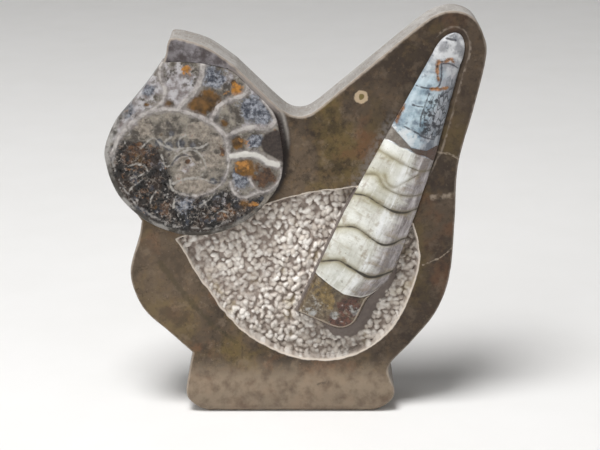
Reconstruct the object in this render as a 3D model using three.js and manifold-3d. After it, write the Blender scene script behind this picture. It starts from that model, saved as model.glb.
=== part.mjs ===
// A standing fossil plaque: a carved limestone slab that holds a spiral ammonite and a straight orthoceras.
// Millimetres, +Z up, +X to the viewer's right, the carved face towards -Y.
// The origin is the middle of the flat foot that the plaque stands on.
import * as THREE from 'three';
import { mergeVertices } from 'three/addons/utils/BufferGeometryUtils.js';
import Module from 'manifold-3d';

const wasm = await Module();
wasm.setup();

// Driving dimensions of the slab
const BASE_DEPTH = 26;
const FOOT_FLARE = 2.5;
const FOOT_HEIGHT = 18;
const FOOT_ROUND = 2.6;
const LEAN = THREE.MathUtils.degToRad(3);
const BLANK_WIDTH = 160;
const BLANK_HEIGHT = 150;
const OUTLINE_STEPS = 3;
const PROFILE_STEPS = 4;
const BACK_Y = BASE_DEPTH / 2;
const FACE_Y = FOOT_FLARE - BASE_DEPTH / 2;

// The ammonite and the raised ground round it
const PAD_PROUD = 2.4;
const PAD_BEVEL = 1.5;
const SEAT_DEPTH = 5;
const AMMONITE_CENTRE = new THREE.Vector2(-36, 92);
const AMMONITE_RAYS = 56;
const AMMONITE_RINGS = 13;
const RIM_WIDTH = 3.2;
const RIM_DROP = 2.2;
const WHORL_CROWN = 0.6;
const WHORL_START_RADIUS = 13.6;
const WHORL_GROWTH_PER_TURN = 2.15;

// The orthoceras, measured along its axis from the open end to the tip
const ORTHOCERAS_LENGTH = 113.3;
const ORTHOCERAS_TILT = THREE.MathUtils.degToRad(24.3);
const ORTHOCERAS_END = new THREE.Vector2(11, 33);
const ORTHOCERAS_LEFT = [[0, -9.5], [40, -9.3], [72, -7.2], [104, -4.9]];
const ORTHOCERAS_RIGHT = [
  [0, 11.3], [14, 11.3], [17.5, 12.6], [24, 15.2], [30, 15.5], [50, 13.8], [72, 11.2], [104, 5.4],
];
const TIP_START = 104;
const SHELL_START = 14;
const SEPTA = [23.2, 36, 48.3, 55.4, 64.9, 71.5];
const SEPTUM_GROOVE = 0.45;
const SEPTUM_HALF_WIDTH = 1.1;
const EDGE_PROUD = 0.4;
const SHELL_CROWN = 3.6;
const CHAMBER_CROWN = 1.5;
const TIP_CROWN = 1.2;
const TIP_CROWN_START = 2.2;
const CROWN_LOSS = 0.28;
const SOCKET_DEPTH = 2.8;
const PEDESTAL_RIM = 0.9;
const PEDESTAL_STEEP = 1.6;
const PEDESTAL_WIDE = 6;

// The pecked hollow between the two fossils
const FLOOR_DEPTH = 3.9;
const LUMP_HEIGHT = 1.5;
const LUMP_PITCH_X = 2.8;
const LUMP_PITCH_Z = 2.4;
const LUMP_JITTER = 0.55;
const HOLLOW_LOW = new THREE.Vector2(-46, 14);
const HOLLOW_HIGH = new THREE.Vector2(50, 86);

// Clearances between the stone and the fossils set in it
const GAP = 0.3;
const SEAT_CLEARANCE = 0.42;
const SEAT_OVERRUN = 4;
const IN_FRONT = -20;

// Two-dimensional helpers: points are pairs of x and height
const vectors = (pairs) => pairs.map(([x, z]) => new THREE.Vector2(x, z));

// The value at s in a table of stations and values, held level past both ends
function valueAlong(table, s) {
  const past = table.findIndex(([at]) => at > s);
  const next = past < 0 ? table.length - 1 : Math.max(1, past);
  const [s0, v0] = table[next - 1];
  const [s1, v1] = table[next];
  return THREE.MathUtils.lerp(v0, v1, THREE.MathUtils.clamp((s - s0) / (s1 - s0), 0, 1));
}

// A repeatable scatter value from 0 to 1 for a lattice place
function scatter(i, j, seed) {
  const raw = Math.sin(i * 12.9898 + j * 78.233 + seed * 37.719) * 43758.5453;
  return raw - Math.floor(raw);
}

// Solid helpers
function solidFrom(geometry) {
  const bare = geometry.clone();
  bare.deleteAttribute('normal');
  bare.deleteAttribute('uv');
  const merged = mergeVertices(bare, 1e-4);
  const vertProperties = new Float32Array(merged.attributes.position.array);
  const triVerts = new Uint32Array(merged.index.array);
  return new wasm.Manifold(new wasm.Mesh({ numProp: 3, vertProperties, triVerts }));
}

function geometryFrom(solid) {
  const mesh = solid.getMesh();
  const geometry = new THREE.BufferGeometry();
  geometry.setAttribute('position', new THREE.BufferAttribute(mesh.vertProperties, 3));
  geometry.setIndex(new THREE.BufferAttribute(mesh.triVerts, 1));
  geometry.computeVertexNormals();
  return geometry;
}

function geometryFromTriangles(points, triangles) {
  const geometry = new THREE.BufferGeometry();
  geometry.setAttribute('position', new THREE.Float32BufferAttribute(points.flat(), 3));
  geometry.setIndex(triangles.flat());
  geometry.computeVertexNormals();
  return geometry;
}

// A drawing of x and height made into a prism that runs from y = back to y = front
function prism(shape, front, back, options = {}) {
  const settings = { depth: back - front, bevelEnabled: false, curveSegments: OUTLINE_STEPS, ...options };
  const geometry = new THREE.ExtrudeGeometry(shape, settings);
  geometry.rotateX(Math.PI / 2);
  geometry.translate(0, back, 0);
  return geometry;
}

// Rings of equal length skinned into one closed body, each ring anticlockwise seen from the last ring's end
function skin(rings) {
  const count = rings[0].length;
  const points = rings.flat();
  const middle = (ring) => [0, 1, 2].map((axis) => ring.reduce((sum, p) => sum + p[axis], 0) / count);
  const first = points.push(middle(rings[0])) - 1;
  const last = points.push(middle(rings[rings.length - 1])) - 1;
  const top = (rings.length - 1) * count;
  const triangles = [];
  for (let k = 0; k < count; k++) {
    const next = (k + 1) % count;
    triangles.push([first, next, k], [last, top + k, top + next]);
    for (let low = 0; low < top; low += count) {
      const high = low + count;
      triangles.push([low + k, low + next, high + next], [low + k, high + next, high + k]);
    }
  }
  return geometryFromTriangles(points, triangles);
}

// The slab's outline, drawn anticlockwise from the foot's left end
function slabOutline() {
  const shape = new THREE.Shape();
  shape.moveTo(-29.5, 0);
  shape.lineTo(29.5, 0);
  shape.lineTo(33.4, 1.3);
  const rightFlank = [
    [36.4, 4.4], [37.4, 8.2], [35.4, 16], [43.2, 25.2], [52, 36.6], [56.6, 50], [58, 70], [58.8, 90],
    [63.8, 110], [67.7, 128], [66.6, 135.6], [62.8, 141.6], [56.4, 143.8], [49.4, 142], [42.4, 137],
  ];
  shape.splineThru(vectors(rightFlank));
  shape.lineTo(10.4, 110.2);
  shape.splineThru(vectors([[6.6, 107.7], [2.8, 107], [-1, 108.2], [-5.4, 111.9]]));
  shape.lineTo(-19, 125.1);
  shape.splineThru(vectors([[-28.3, 131.5], [-37.4, 134.5]]));
  shape.splineThru(vectors([[-41, 134.7], [-42.2, 132.4]]));
  const underAmmonite = [
    [-43.6, 126.6], [-50.2, 115.8], [-59.4, 104.4], [-63.4, 95], [-61, 83], [-52.4, 69.8],
  ];
  shape.splineThru(vectors(underAmmonite));
  shape.splineThru(vectors([[-53.4, 64], [-56.8, 50.6], [-52.6, 38], [-43.6, 29.2], [-35, 21.2]]));
  shape.splineThru(vectors([[-36.5, 14], [-37.4, 8.2], [-36.4, 4.4], [-33.4, 1.3]]));
  shape.closePath();
  return shape;
}

// The slab from the side: a flat foot that flares forwards, a face that leans back, an upright back
function slabProfile() {
  const faceAt = (z) => FACE_Y + z * Math.tan(LEAN);
  const footFront = FACE_Y - FOOT_FLARE;
  const shape = new THREE.Shape();
  shape.moveTo(BACK_Y, BLANK_HEIGHT);
  shape.lineTo(faceAt(BLANK_HEIGHT), BLANK_HEIGHT);
  shape.lineTo(faceAt(FOOT_HEIGHT), FOOT_HEIGHT);
  const flareTop = FOOT_HEIGHT - 4;
  shape.bezierCurveTo(faceAt(flareTop), flareTop, footFront, FOOT_HEIGHT - 7, footFront, FOOT_HEIGHT - 12);
  shape.lineTo(footFront, FOOT_ROUND);
  shape.lineTo(footFront + FOOT_ROUND * 0.2, FOOT_ROUND * 0.45);
  shape.lineTo(footFront + FOOT_ROUND * 0.75, 0);
  shape.lineTo(BACK_Y, 0);
  shape.closePath();
  return shape;
}

function slabBlank() {
  const outline = solidFrom(prism(slabOutline(), IN_FRONT, BACK_Y));
  const settings = { depth: BLANK_WIDTH, bevelEnabled: false, curveSegments: PROFILE_STEPS };
  const side = new THREE.ExtrudeGeometry(slabProfile(), settings);
  const alongX = new THREE.Matrix4().makeBasis(
    new THREE.Vector3(0, 1, 0),
    new THREE.Vector3(0, 0, 1),
    new THREE.Vector3(1, 0, 0),
  );
  side.applyMatrix4(alongX).translate(-BLANK_WIDTH / 2, 0, 0);
  return { outline, blank: outline.intersect(solidFrom(side)) };
}

// The raised ground round the ammonite, bevelled down to the face on its right
function ammonitePad() {
  const shape = new THREE.Shape();
  shape.moveTo(-4, 116);
  shape.lineTo(-70, 150);
  shape.lineTo(-70, 76);
  shape.lineTo(-14, 76);
  shape.splineThru(vectors([[-5, 79], [-1.2, 86], [0.2, 96], [-0.8, 105], [-4, 116]]));
  const bevel = {
    bevelEnabled: true,
    bevelThickness: PAD_PROUD,
    bevelSize: PAD_BEVEL,
    bevelOffset: -PAD_BEVEL,
    bevelSegments: 1,
    depth: SEAT_DEPTH,
  };
  return prism(shape, 0, SEAT_DEPTH, bevel);
}

// The ammonite's outline, anticlockwise from its right side
function ammoniteOutline() {
  return vectors([
    [-2.4, 92], [-3.2, 101], [-5, 107.6], [-7.8, 111.9], [-13.6, 117.6], [-20.4, 123.8], [-29.4, 126.1],
    [-37.5, 126.8], [-44.2, 126.6], [-48.6, 120.2], [-54.4, 113], [-61.2, 104.8], [-64.7, 96], [-64.2, 89.6],
    [-62.3, 83.4], [-58.8, 77.4], [-51.8, 70.8], [-44.6, 67.1], [-37.4, 65.1], [-29.2, 65.1], [-20.9, 67.5],
    [-13.7, 71.9], [-7.6, 78.2], [-3.8, 84.2],
  ]);
}

// How far the ammonite's outline lies from its centre, at an angle anticlockwise from +X
function ammoniteReach(angle) {
  const outline = ammoniteOutline();
  const direction = new THREE.Vector2(Math.cos(angle), Math.sin(angle));
  for (let i = 0; i < outline.length; i++) {
    const from = outline[i].clone().sub(AMMONITE_CENTRE);
    const along = outline[(i + 1) % outline.length].clone().sub(AMMONITE_CENTRE).sub(from);
    const turn = direction.cross(along);
    const reach = from.cross(along) / turn;
    const share = from.cross(direction) / turn;
    if (reach > 0 && share >= 0 && share <= 1) return reach;
  }
  throw new Error('the ammonite outline does not go round its centre');
}

// Where a point lies across its whorl: 0 and 1 on the spiral wall, 0.5 in the middle of the tube
function acrossWhorl(radius, angle) {
  const turns = Math.log(Math.max(radius, 1) / WHORL_START_RADIUS) / Math.log(WHORL_GROWTH_PER_TURN);
  const spiral = turns - (angle + Math.PI / 2) / (2 * Math.PI);
  return spiral - Math.floor(spiral);
}

// The rim is rounded where the shell stands free, on the left and below, and square in the raised ground
function rimDropAt(angle) {
  const free = THREE.MathUtils.smoothstep(Math.cos(angle - THREE.MathUtils.degToRad(230)), -0.35, 0.35);
  return THREE.MathUtils.lerp(0.2, RIM_DROP, free);
}

function ammoniteGeometry() {
  const centre = [AMMONITE_CENTRE.x, AMMONITE_CENTRE.y];
  const pointAt = (angle, radius, y) => [
    centre[0] + radius * Math.cos(angle),
    y,
    centre[1] + radius * Math.sin(angle),
  ];
  const angles = Array.from({ length: AMMONITE_RAYS }, (_, n) => (2 * Math.PI * n) / AMMONITE_RAYS);
  const back = SEAT_DEPTH - GAP;
  const ringAt = (radiusOf, depthOf) => angles.map((a) => pointAt(a, radiusOf(a), depthOf(a)));
  const rings = [ringAt((a) => ammoniteReach(a) * 0.5, () => back), ringAt(ammoniteReach, () => back)];
  rings.push(ringAt(ammoniteReach, (a) => rimDropAt(a) - PAD_PROUD));
  rings.push(ringAt((a) => ammoniteReach(a) - RIM_WIDTH * 0.35, (a) => rimDropAt(a) * 0.35 - PAD_PROUD));
  for (let k = AMMONITE_RINGS; k > 0; k--) {
    const radiusOf = (a) => ((ammoniteReach(a) - RIM_WIDTH) * k) / AMMONITE_RINGS;
    const crown = (a) => {
      const across = acrossWhorl(radiusOf(a), a);
      return WHORL_CROWN * 4 * across * (1 - across);
    };
    rings.push(ringAt(radiusOf, (a) => (WHORL_CROWN - crown(a)) * 0.9 - PAD_PROUD));
  }
  return skin(rings);
}

// The orthoceras in its own frame: x across, y into the slab, z along the axis
function orthocerasSides(s, grow = 0) {
  const left = valueAlong(ORTHOCERAS_LEFT, s) - grow;
  const right = valueAlong(ORTHOCERAS_RIGHT, s) + grow;
  const tipShare = THREE.MathUtils.clamp((s - TIP_START) / (ORTHOCERAS_LENGTH + grow - TIP_START), 0, 1);
  const narrowing = Math.sqrt(Math.max(0, 1 - tipShare * tipShare));
  const middle = (left + right) / 2;
  return [middle + (left - middle) * narrowing, middle + (right - middle) * narrowing];
}

// The outline of the orthoceras on the face, grown by a margin on its left, right and open end
function orthocerasFootprint(leftGrow, rightGrow, endGrow) {
  const stations = [-endGrow, 6, 14, 17.5, 24, 30, 40, 50, 61, 72, 88, 104, 108, 111, 112.6];
  const left = stations.map((s) => [orthocerasSides(s, leftGrow)[0], s]);
  const right = stations.map((s) => [orthocerasSides(s, rightGrow(s))[1], s]);
  const tip = [(left.at(-1)[0] + right.at(-1)[0]) / 2, ORTHOCERAS_LENGTH + Math.min(leftGrow, GAP)];
  return [...right, tip, ...left.reverse()];
}

// The S-shaped sway of a septum along the axis, for t from -1 at the left edge to 1 at the right
const septumCurve = (t) => 4.59 * t ** 3 + 0.57 * t ** 2 - 1.94 * t + 0.18;

// Rings along the shell: the open chamber, then grooves at each septum and a low swell between them
function orthocerasStations() {
  const stations = [
    { s: 0, crown: CHAMBER_CROWN * 0.5, sway: 0 },
    { s: 1.4, crown: CHAMBER_CROWN, sway: 0 },
    { s: SHELL_START - 0.4, crown: CHAMBER_CROWN, sway: 0.12 },
    { s: SHELL_START + 0.4, crown: SHELL_CROWN * 0.85, sway: 0.12 },
  ];
  SEPTA.forEach((s, i) => {
    const share = i / (SEPTA.length - 1);
    const crown = SHELL_CROWN * (1 - CROWN_LOSS * share);
    const sway = THREE.MathUtils.lerp(0.95, 0.4, share);
    stations.push({ s: s - SEPTUM_HALF_WIDTH, crown, sway });
    stations.push({ s, crown: crown - SEPTUM_GROOVE, sway });
    stations.push({ s: s + SEPTUM_HALF_WIDTH, crown, sway });
  });
  stations.push({ s: 80, crown: TIP_CROWN_START, sway: 0.2 }, { s: 92, crown: TIP_CROWN * 1.5, sway: 0.1 });
  stations.push({ s: TIP_START, crown: TIP_CROWN, sway: 0 }, { s: 109, crown: TIP_CROWN * 0.8, sway: 0 });
  stations.push({ s: 112, crown: TIP_CROWN * 0.5, sway: 0 }, { s: 113.1, crown: TIP_CROWN * 0.3, sway: 0 });
  return stations;
}

function orthocerasGeometry() {
  const across = [-1, -0.86, -0.6, -0.3, 0, 0.3, 0.6, 0.86, 1];
  const back = SOCKET_DEPTH - GAP;
  const rings = orthocerasStations().map(({ s, crown, sway }) => {
    const arch = across.map((t) => {
      const at = s + sway * septumCurve(t);
      const [left, right] = orthocerasSides(at);
      const height = EDGE_PROUD + crown * (1 - Math.abs(t) ** 2.4) ** 0.8;
      return [THREE.MathUtils.lerp(left, right, (t + 1) / 2), -height, at];
    });
    const rightBack = [arch.at(-1)[0], back, arch.at(-1)[2]];
    const leftBack = [arch[0][0], back, arch[0][2]];
    return [...arch, rightBack, leftBack];
  });
  return skin(rings);
}

// The ground left standing under the orthoceras: steep on its left, a wide slope at its lower right
function orthocerasPedestal() {
  const steepness = (s) => THREE.MathUtils.smoothstep(s, 14, 40);
  const slope = (s) => THREE.MathUtils.lerp(PEDESTAL_WIDE, PEDESTAL_STEEP, steepness(s));
  const rim = orthocerasFootprint(PEDESTAL_RIM, () => PEDESTAL_RIM, PEDESTAL_RIM);
  const foot = orthocerasFootprint(PEDESTAL_STEEP, slope, PEDESTAL_STEEP);
  const deep = FLOOR_DEPTH + 2;
  return skin([
    foot.map(([u, s]) => [u, deep, s]),
    rim.map(([u, s]) => [u, 0, s]),
    rim.map(([u, s]) => [u, IN_FRONT * 2, s]),
  ]);
}

// The pecked floor: six-sided lumps side by side, as the underside of a block that is cut away
function peckedBlock() {
  const points = [];
  const triangles = [];
  const corners = new Map();
  const cornerAt = (x, z) => {
    const key = `${Math.round(x * 20)},${Math.round(z * 20)}`;
    if (!corners.has(key)) {
      const seed = corners.size;
      const shift = (k) => (scatter(seed, k, 3) - 0.5) * LUMP_JITTER;
      corners.set(key, points.push([x + shift(1), FLOOR_DEPTH, z + shift(2)]) - 1);
    }
    return corners.get(key);
  };
  const rows = Math.ceil((HOLLOW_HIGH.y - HOLLOW_LOW.y) / LUMP_PITCH_Z);
  const columns = Math.ceil((HOLLOW_HIGH.x - HOLLOW_LOW.x) / LUMP_PITCH_X);
  for (let j = 0; j < rows; j++) {
    for (let i = 0; i < columns; i++) {
      const x = HOLLOW_LOW.x + (i + (j % 2) / 2) * LUMP_PITCH_X;
      const z = HOLLOW_LOW.y + j * LUMP_PITCH_Z;
      const height = LUMP_HEIGHT * (0.65 + 0.5 * scatter(i, j, 1));
      const lean = (k) => (scatter(i, j, k) - 0.5) * LUMP_JITTER;
      const peak = points.push([x + lean(4), FLOOR_DEPTH - height, z + lean(5)]) - 1;
      const half = LUMP_PITCH_X / 2;
      const third = LUMP_PITCH_Z / 3;
      const upper = [[half, third], [0, 2 * third], [-half, third]];
      const ring = [...upper, ...upper.map(([dx, dz]) => [-dx, -dz])];
      const hexagon = ring.map(([dx, dz]) => cornerAt(x + dx, z + dz));
      hexagon.forEach((corner, k) => triangles.push([peak, hexagon[(k + 1) % 6], corner]));
    }
  }
  return closedTowardsViewer(points, triangles);
}

// A surface that faces the slab, closed by a flat copy of itself in front of the slab and a wall between
function closedTowardsViewer(points, triangles) {
  const count = points.length;
  const all = [...points, ...points.map(([x, , z]) => [x, IN_FRONT, z])];
  const edges = new Set(triangles.flatMap(([a, b, c]) => [`${a},${b}`, `${b},${c}`, `${c},${a}`]));
  const faces = triangles.flatMap(([a, b, c]) => [[a, b, c], [a + count, c + count, b + count]]);
  for (const edge of edges) {
    const [a, b] = edge.split(',').map(Number);
    if (!edges.has(`${b},${a}`)) faces.push([b, a, a + count], [b, a + count, b + count]);
  }
  return geometryFromTriangles(all, faces);
}

// The outline of the pecked hollow; its hidden side runs under the two fossils
function hollowOutline() {
  const shape = new THREE.Shape();
  shape.moveTo(-40.2, 63.4);
  const lowerRim = [
    [-32.1, 49.4], [-20.6, 33.4], [-7.5, 23.4], [9, 18.7],
    [24, 21.2], [36, 30.4], [43, 44.4], [45.6, 57], [43.4, 69],
  ];
  shape.splineThru(vectors(lowerRim));
  shape.lineTo(30, 74);
  shape.lineTo(26, 82.8);
  shape.splineThru(vectors([[21, 82], [6, 80], [-7.3, 76.4]]));
  shape.lineTo(-14, 74);
  shape.closePath();
  return shape;
}

// The face's own frame: x across, z up the leaning face, y into the stone
const face = new THREE.Group();
face.position.set(0, FACE_Y, 0);
face.rotation.x = -LEAN;
const orthocerasPlace = new THREE.Group();
orthocerasPlace.position.set(ORTHOCERAS_END.x, 0, ORTHOCERAS_END.y);
orthocerasPlace.rotation.y = ORTHOCERAS_TILT;
face.add(orthocerasPlace);
face.updateMatrixWorld(true);

const onFace = (geometry) => solidFrom(geometry.clone().applyMatrix4(face.matrixWorld));
const onAxis = (geometry) => solidFrom(geometry.clone().applyMatrix4(orthocerasPlace.matrixWorld));

function slabGeometry() {
  const { outline, blank } = slabBlank();
  const raised = blank.add(onFace(ammonitePad()).intersect(outline));
  const hollow = onFace(prism(hollowOutline(), IN_FRONT, FLOOR_DEPTH * 2, { curveSegments: 4 }));
  const pecked = onFace(peckedBlock()).intersect(hollow).subtract(onAxis(orthocerasPedestal()));
  const seatShape = new THREE.Shape(ammoniteOutline().map((p) => p.clone().add(outwards(p))));
  const seat = onFace(prism(seatShape, IN_FRONT, SEAT_DEPTH));
  const socketShape = new THREE.Shape(vectors(orthocerasFootprint(GAP, () => GAP, GAP)));
  const socket = onAxis(prism(socketShape, IN_FRONT, SOCKET_DEPTH));
  return geometryFrom(raised.subtract(pecked).subtract(seat).subtract(socket));
}

// The clearance of the ammonite's seat: a little outwards, and past the slab's edge on its free left side
function outwards(point) {
  const onFreeSide = point.x < -43 && point.y > 72;
  if (onFreeSide) return new THREE.Vector2(-SEAT_OVERRUN, GAP);
  return point.clone().sub(AMMONITE_CENTRE).setLength(SEAT_CLEARANCE);
}

// Stone finishes
const limestone = new THREE.MeshStandardMaterial({ color: 0x6b5a48, roughness: 0.35, metalness: 0 });
const shellCalcite = new THREE.MeshStandardMaterial({ color: 0xcfcdc2, roughness: 0.3, metalness: 0 });
const darkCalcite = new THREE.MeshStandardMaterial({ color: 0x6f675f, roughness: 0.25, metalness: 0 });

function named(name, geometry, material) {
  const mesh = new THREE.Mesh(geometry, material);
  mesh.name = name;
  return mesh;
}

const plaque = new THREE.Group();
plaque.add(named('slab', slabGeometry(), limestone));
face.add(named('ammonite', ammoniteGeometry(), darkCalcite));
orthocerasPlace.add(named('orthoceras', orthocerasGeometry(), shellCalcite));
plaque.add(face);

export default plaque;
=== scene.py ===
# %% [markdown]
# # A fossil plaque that stands on its own foot
# A slab of brown limestone has been sawn to a free outline, polished on its face and given a foot. In its
# left lobe lies an ammonite, cut through and polished. Across its right lobe lies an orthoceras, a
# straight chambered shell. Between the two the stone is pecked away to a pale, lumpy floor. The solid
# part gives every size and place, and this lesson gives each of the three pieces its fine shape and its
# finish.

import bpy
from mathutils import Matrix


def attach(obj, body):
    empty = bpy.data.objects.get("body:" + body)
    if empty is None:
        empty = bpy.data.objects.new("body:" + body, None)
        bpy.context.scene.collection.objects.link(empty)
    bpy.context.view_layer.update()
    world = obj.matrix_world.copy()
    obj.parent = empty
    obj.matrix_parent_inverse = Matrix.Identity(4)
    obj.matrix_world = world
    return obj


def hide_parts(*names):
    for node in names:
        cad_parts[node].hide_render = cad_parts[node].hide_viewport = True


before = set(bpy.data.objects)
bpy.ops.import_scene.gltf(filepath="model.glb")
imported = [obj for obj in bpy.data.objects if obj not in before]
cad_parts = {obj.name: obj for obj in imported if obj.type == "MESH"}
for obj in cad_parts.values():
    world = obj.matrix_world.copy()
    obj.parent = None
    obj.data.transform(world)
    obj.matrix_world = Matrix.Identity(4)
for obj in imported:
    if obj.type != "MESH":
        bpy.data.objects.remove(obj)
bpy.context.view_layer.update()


# %% [markdown]
# ## Drawing on a leaning face
# A mason draws on the face of the stone before cutting it. Here too every outline is drawn flat, as
# points of x and height z in millimetres, and a depth into the stone is added afterwards. Moving a
# drawing into space then takes one function, which knows that the face leans back by three degrees and
# flares forwards at the foot. Modelling straight in space would work as well, but flat drawings are far
# easier to read off the real object.

# %% From the drawing to space
import math

import bpy
import numpy as np
from mathutils import Vector
from mathutils.geometry import delaunay_2d_cdt

MM = 0.001
LEAN = math.tan(math.radians(3))
FACE_Y, FOOT_FRONT_Y, BACK_Y = -10.5, -13.0, 13.0
FOOT_HEIGHT, FLARE_MIDDLE = 18.0, 14.0


def ease(low, high, value):
    """0 at low, 1 at high, and a smooth step between them; low may be the larger one."""
    t = np.clip((value - low) / (high - low), 0, 1)
    return t * t * (3 - 2 * t)


flare_pulls = np.array([
    [FACE_Y + FOOT_HEIGHT * LEAN, FOOT_HEIGHT], [FACE_Y + FLARE_MIDDLE * LEAN, FLARE_MIDDLE],
    [FOOT_FRONT_Y, 11], [FOOT_FRONT_Y, 6],
])
run = np.linspace(1, 0, 40)[:, None]
flare = sum(n * run**k * (1 - run) ** (3 - k) * flare_pulls[k] for k, n in enumerate((1, 3, 3, 1)))


def face_y(z):
    return np.where(z > FOOT_HEIGHT, FACE_Y + z * LEAN, np.interp(z, flare[:, 1], flare[:, 0]))


def to_space(points, depth):
    return np.column_stack([points[:, 0], face_y(points[:, 1]) + depth, points[:, 1]]) * MM


print("face depth at the foot and at the top, mm:", face_y(np.array([2.0, 143.0])).round(2))

# %% [markdown]
# ## Lines, distances and a little noise
# Most of the shape follows from one question: how far is this point from that line? The distance to the
# outline rounds the edge, the distance to the rim cuts the hollow, and the distance to a chamber wall
# paints it white. The helpers below draw smooth lines through a few points, measure such distances and
# give a soft noise that is the same each run.

# %% Helpers for lines
def spline(points, steps=14):
    """A smooth line through the points."""
    p = np.asarray(points, float)
    padded = np.vstack([p[:1], p, p[-1:]])
    t = np.linspace(0, 1, steps, endpoint=False)[:, None]
    runs = []
    for a, b, c, d in zip(padded[:-3], padded[1:-2], padded[2:-1], padded[3:]):
        start, end = (c - a) / 2, (d - b) / 2
        cubic, square = 2 * b - 2 * c + start + end, 3 * c - 3 * b - 2 * start - end
        runs.append(cubic * t**3 + square * t**2 + start * t + b)
    return np.vstack(runs + [p[-1:]])


def even(path, step):
    """The same line with its points an even step apart."""
    run = np.r_[0, np.cumsum(np.linalg.norm(np.diff(path, axis=0), axis=1))]
    at = np.linspace(0, run[-1], max(2, round(run[-1] / step) + 1))
    return np.column_stack([np.interp(at, run, path[:, k]) for k in (0, 1)])


def loop_through(parts, step):
    """A closed outline from parts that join at corners."""
    return np.vstack([even(spline(part), step)[:-1] for part in parts])


def closed(loop):
    return np.vstack([loop, loop[:1]])


print("a test spline has", len(spline([(0, 0), (5, 2), (9, 0)])), "points")

# %% Helpers for distances, noise and moved outlines
BATCH = 1000


def batches(points):
    """Slices that share out many points, so that the tables of distances stay small."""
    return [slice(start, start + BATCH) for start in range(0, len(points), BATCH)]


def distance_to(points, path):
    path = np.asarray(path, float)
    along = np.diff(path, axis=0)
    span = np.maximum((along**2).sum(1), 1e-9)
    nearest = np.empty(len(points))
    for part in batches(points):
        x = points[part, :1] - path[:-1, 0]
        z = points[part, 1:] - path[:-1, 1]
        t = np.clip((x * along[:, 0] + z * along[:, 1]) / span, 0, 1)
        x -= t * along[:, 0]
        z -= t * along[:, 1]
        nearest[part] = np.sqrt((x * x + z * z).min(1))
    return nearest


def nearest_line(points, lines):
    """The distance to the nearest of several smooth lines."""
    return np.min([distance_to(points, spline(line)) for line in lines], axis=0)


def nearest_wall(points, walls):
    """The same for lines that have a half width each, measured from their sides."""
    return np.min([distance_to(points, spline(line)) - half for half, line in walls], axis=0)


def inside(points, loop):
    a, b = loop, np.roll(loop, -1, axis=0)
    rise = np.where(b[:, 1] == a[:, 1], 1, b[:, 1] - a[:, 1])
    found = np.empty(len(points), bool)
    for part in batches(points):
        x, z = points[part, :1], points[part, 1:]
        across = (a[:, 1] > z) != (b[:, 1] > z)
        at = a[:, 0] + (z - a[:, 1]) * (b[:, 0] - a[:, 0]) / rise
        found[part] = np.count_nonzero(across & (x < at), axis=1) % 2 == 1
    return found


def how_far_in(points, loop):
    """The distance to an outline, positive inside it and negative outside."""
    return distance_to(points, closed(loop)) * np.where(inside(points, loop), 1, -1)


def scatter(i, j, seed):
    raw = np.sin(i * 12.9898 + j * 78.233 + seed * 37.719) * 43758.5453
    return raw - np.floor(raw)


def cloud(points, size, seed):
    """A soft noise from 0 to 1 with patches of about the given size."""
    cell = np.floor(points / size)
    f = points / size - cell
    f = f * f * (3 - 2 * f)
    corner = [[scatter(cell[:, 0] + i, cell[:, 1] + j, seed) for i in (0, 1)] for j in (0, 1)]
    low = corner[0][0] * (1 - f[:, 0]) + corner[0][1] * f[:, 0]
    high = corner[1][0] * (1 - f[:, 0]) + corner[1][1] * f[:, 0]
    return low * (1 - f[:, 1]) + high * f[:, 1]


def inset(loop, distance):
    """An outline moved inwards; crowded points at a corner fall together on one spot."""
    along = np.roll(loop, -1, axis=0) - np.roll(loop, 1, axis=0)
    along /= np.linalg.norm(along, axis=1)[:, None]
    moved = loop + np.column_stack([-along[:, 1], along[:, 0]]) * np.reshape(distance, (-1, 1))
    good = np.flatnonzero(distance_to(moved, closed(loop)) > 0.93 * np.abs(distance))
    gaps = np.abs(np.arange(len(loop))[:, None] - good)
    return moved[good[np.minimum(gaps, len(loop) - gaps).argmin(1)]]


print("a point 3 mm beside a line measures", distance_to(np.zeros((1, 2)), [(3, -1), (3, 1)])[0], "mm")

# %% [markdown]
# ## From a drawing to a mesh
# A flat drawing becomes a mesh by filling it with triangles whose corners are spread where detail is
# wanted. Blender's own Delaunay routine does that, and it keeps the outline as a row of edges. A grid
# would be simpler, but it would leave a staircase along every curved edge.

# %% Helpers for meshes
ROW_STEP = 0.866


def honeycomb(low, high, step, seed):
    """Points spread over a box in staggered rows, each a little off its place."""
    columns, rows = (high[0] - low[0]) / step, (high[1] - low[1]) / (step * ROW_STEP)
    i, j = (grid.ravel() for grid in np.meshgrid(np.arange(columns), np.arange(rows)))
    shift = np.column_stack([scatter(i, j, seed), scatter(i, j, seed + 1)]) - 0.5
    places = np.column_stack([low[0] + (i + (j % 2) / 2) * step, low[1] + j * step * ROW_STEP])
    return places + shift * step * 0.3


def thin_out(points, step):
    _, kept = np.unique(np.round(points / step), axis=0, return_index=True)
    return points[np.sort(kept)]


def fill(loop, loose):
    """Triangles over an outline and the loose points in it: (points, triangles, places of the outline)."""
    sites = np.vstack([loop, loose])
    edges = [(k, (k + 1) % len(loop)) for k in range(len(loop))]
    points, _, faces, origins, _, _ = delaunay_2d_cdt([Vector(p) for p in sites], edges, [], 1, 1e-5)
    place = {source: k for k, sources in enumerate(origins) for source in sources}
    row = [place[k] for k in range(len(loop))]
    return np.array([tuple(p) for p in points]), [tuple(f) for f in faces], row


def skirt(row, count, more):
    """Faces that carry a closed row of points on through more rows, numbered from count; and the last row."""
    wide, faces = len(row), []
    for _ in range(more):
        below = list(range(count, count + wide))
        faces += [(row[k], below[k], below[(k + 1) % wide], row[(k + 1) % wide]) for k in range(wide)]
        row, count = below, count + wide
    return faces, row


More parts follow.
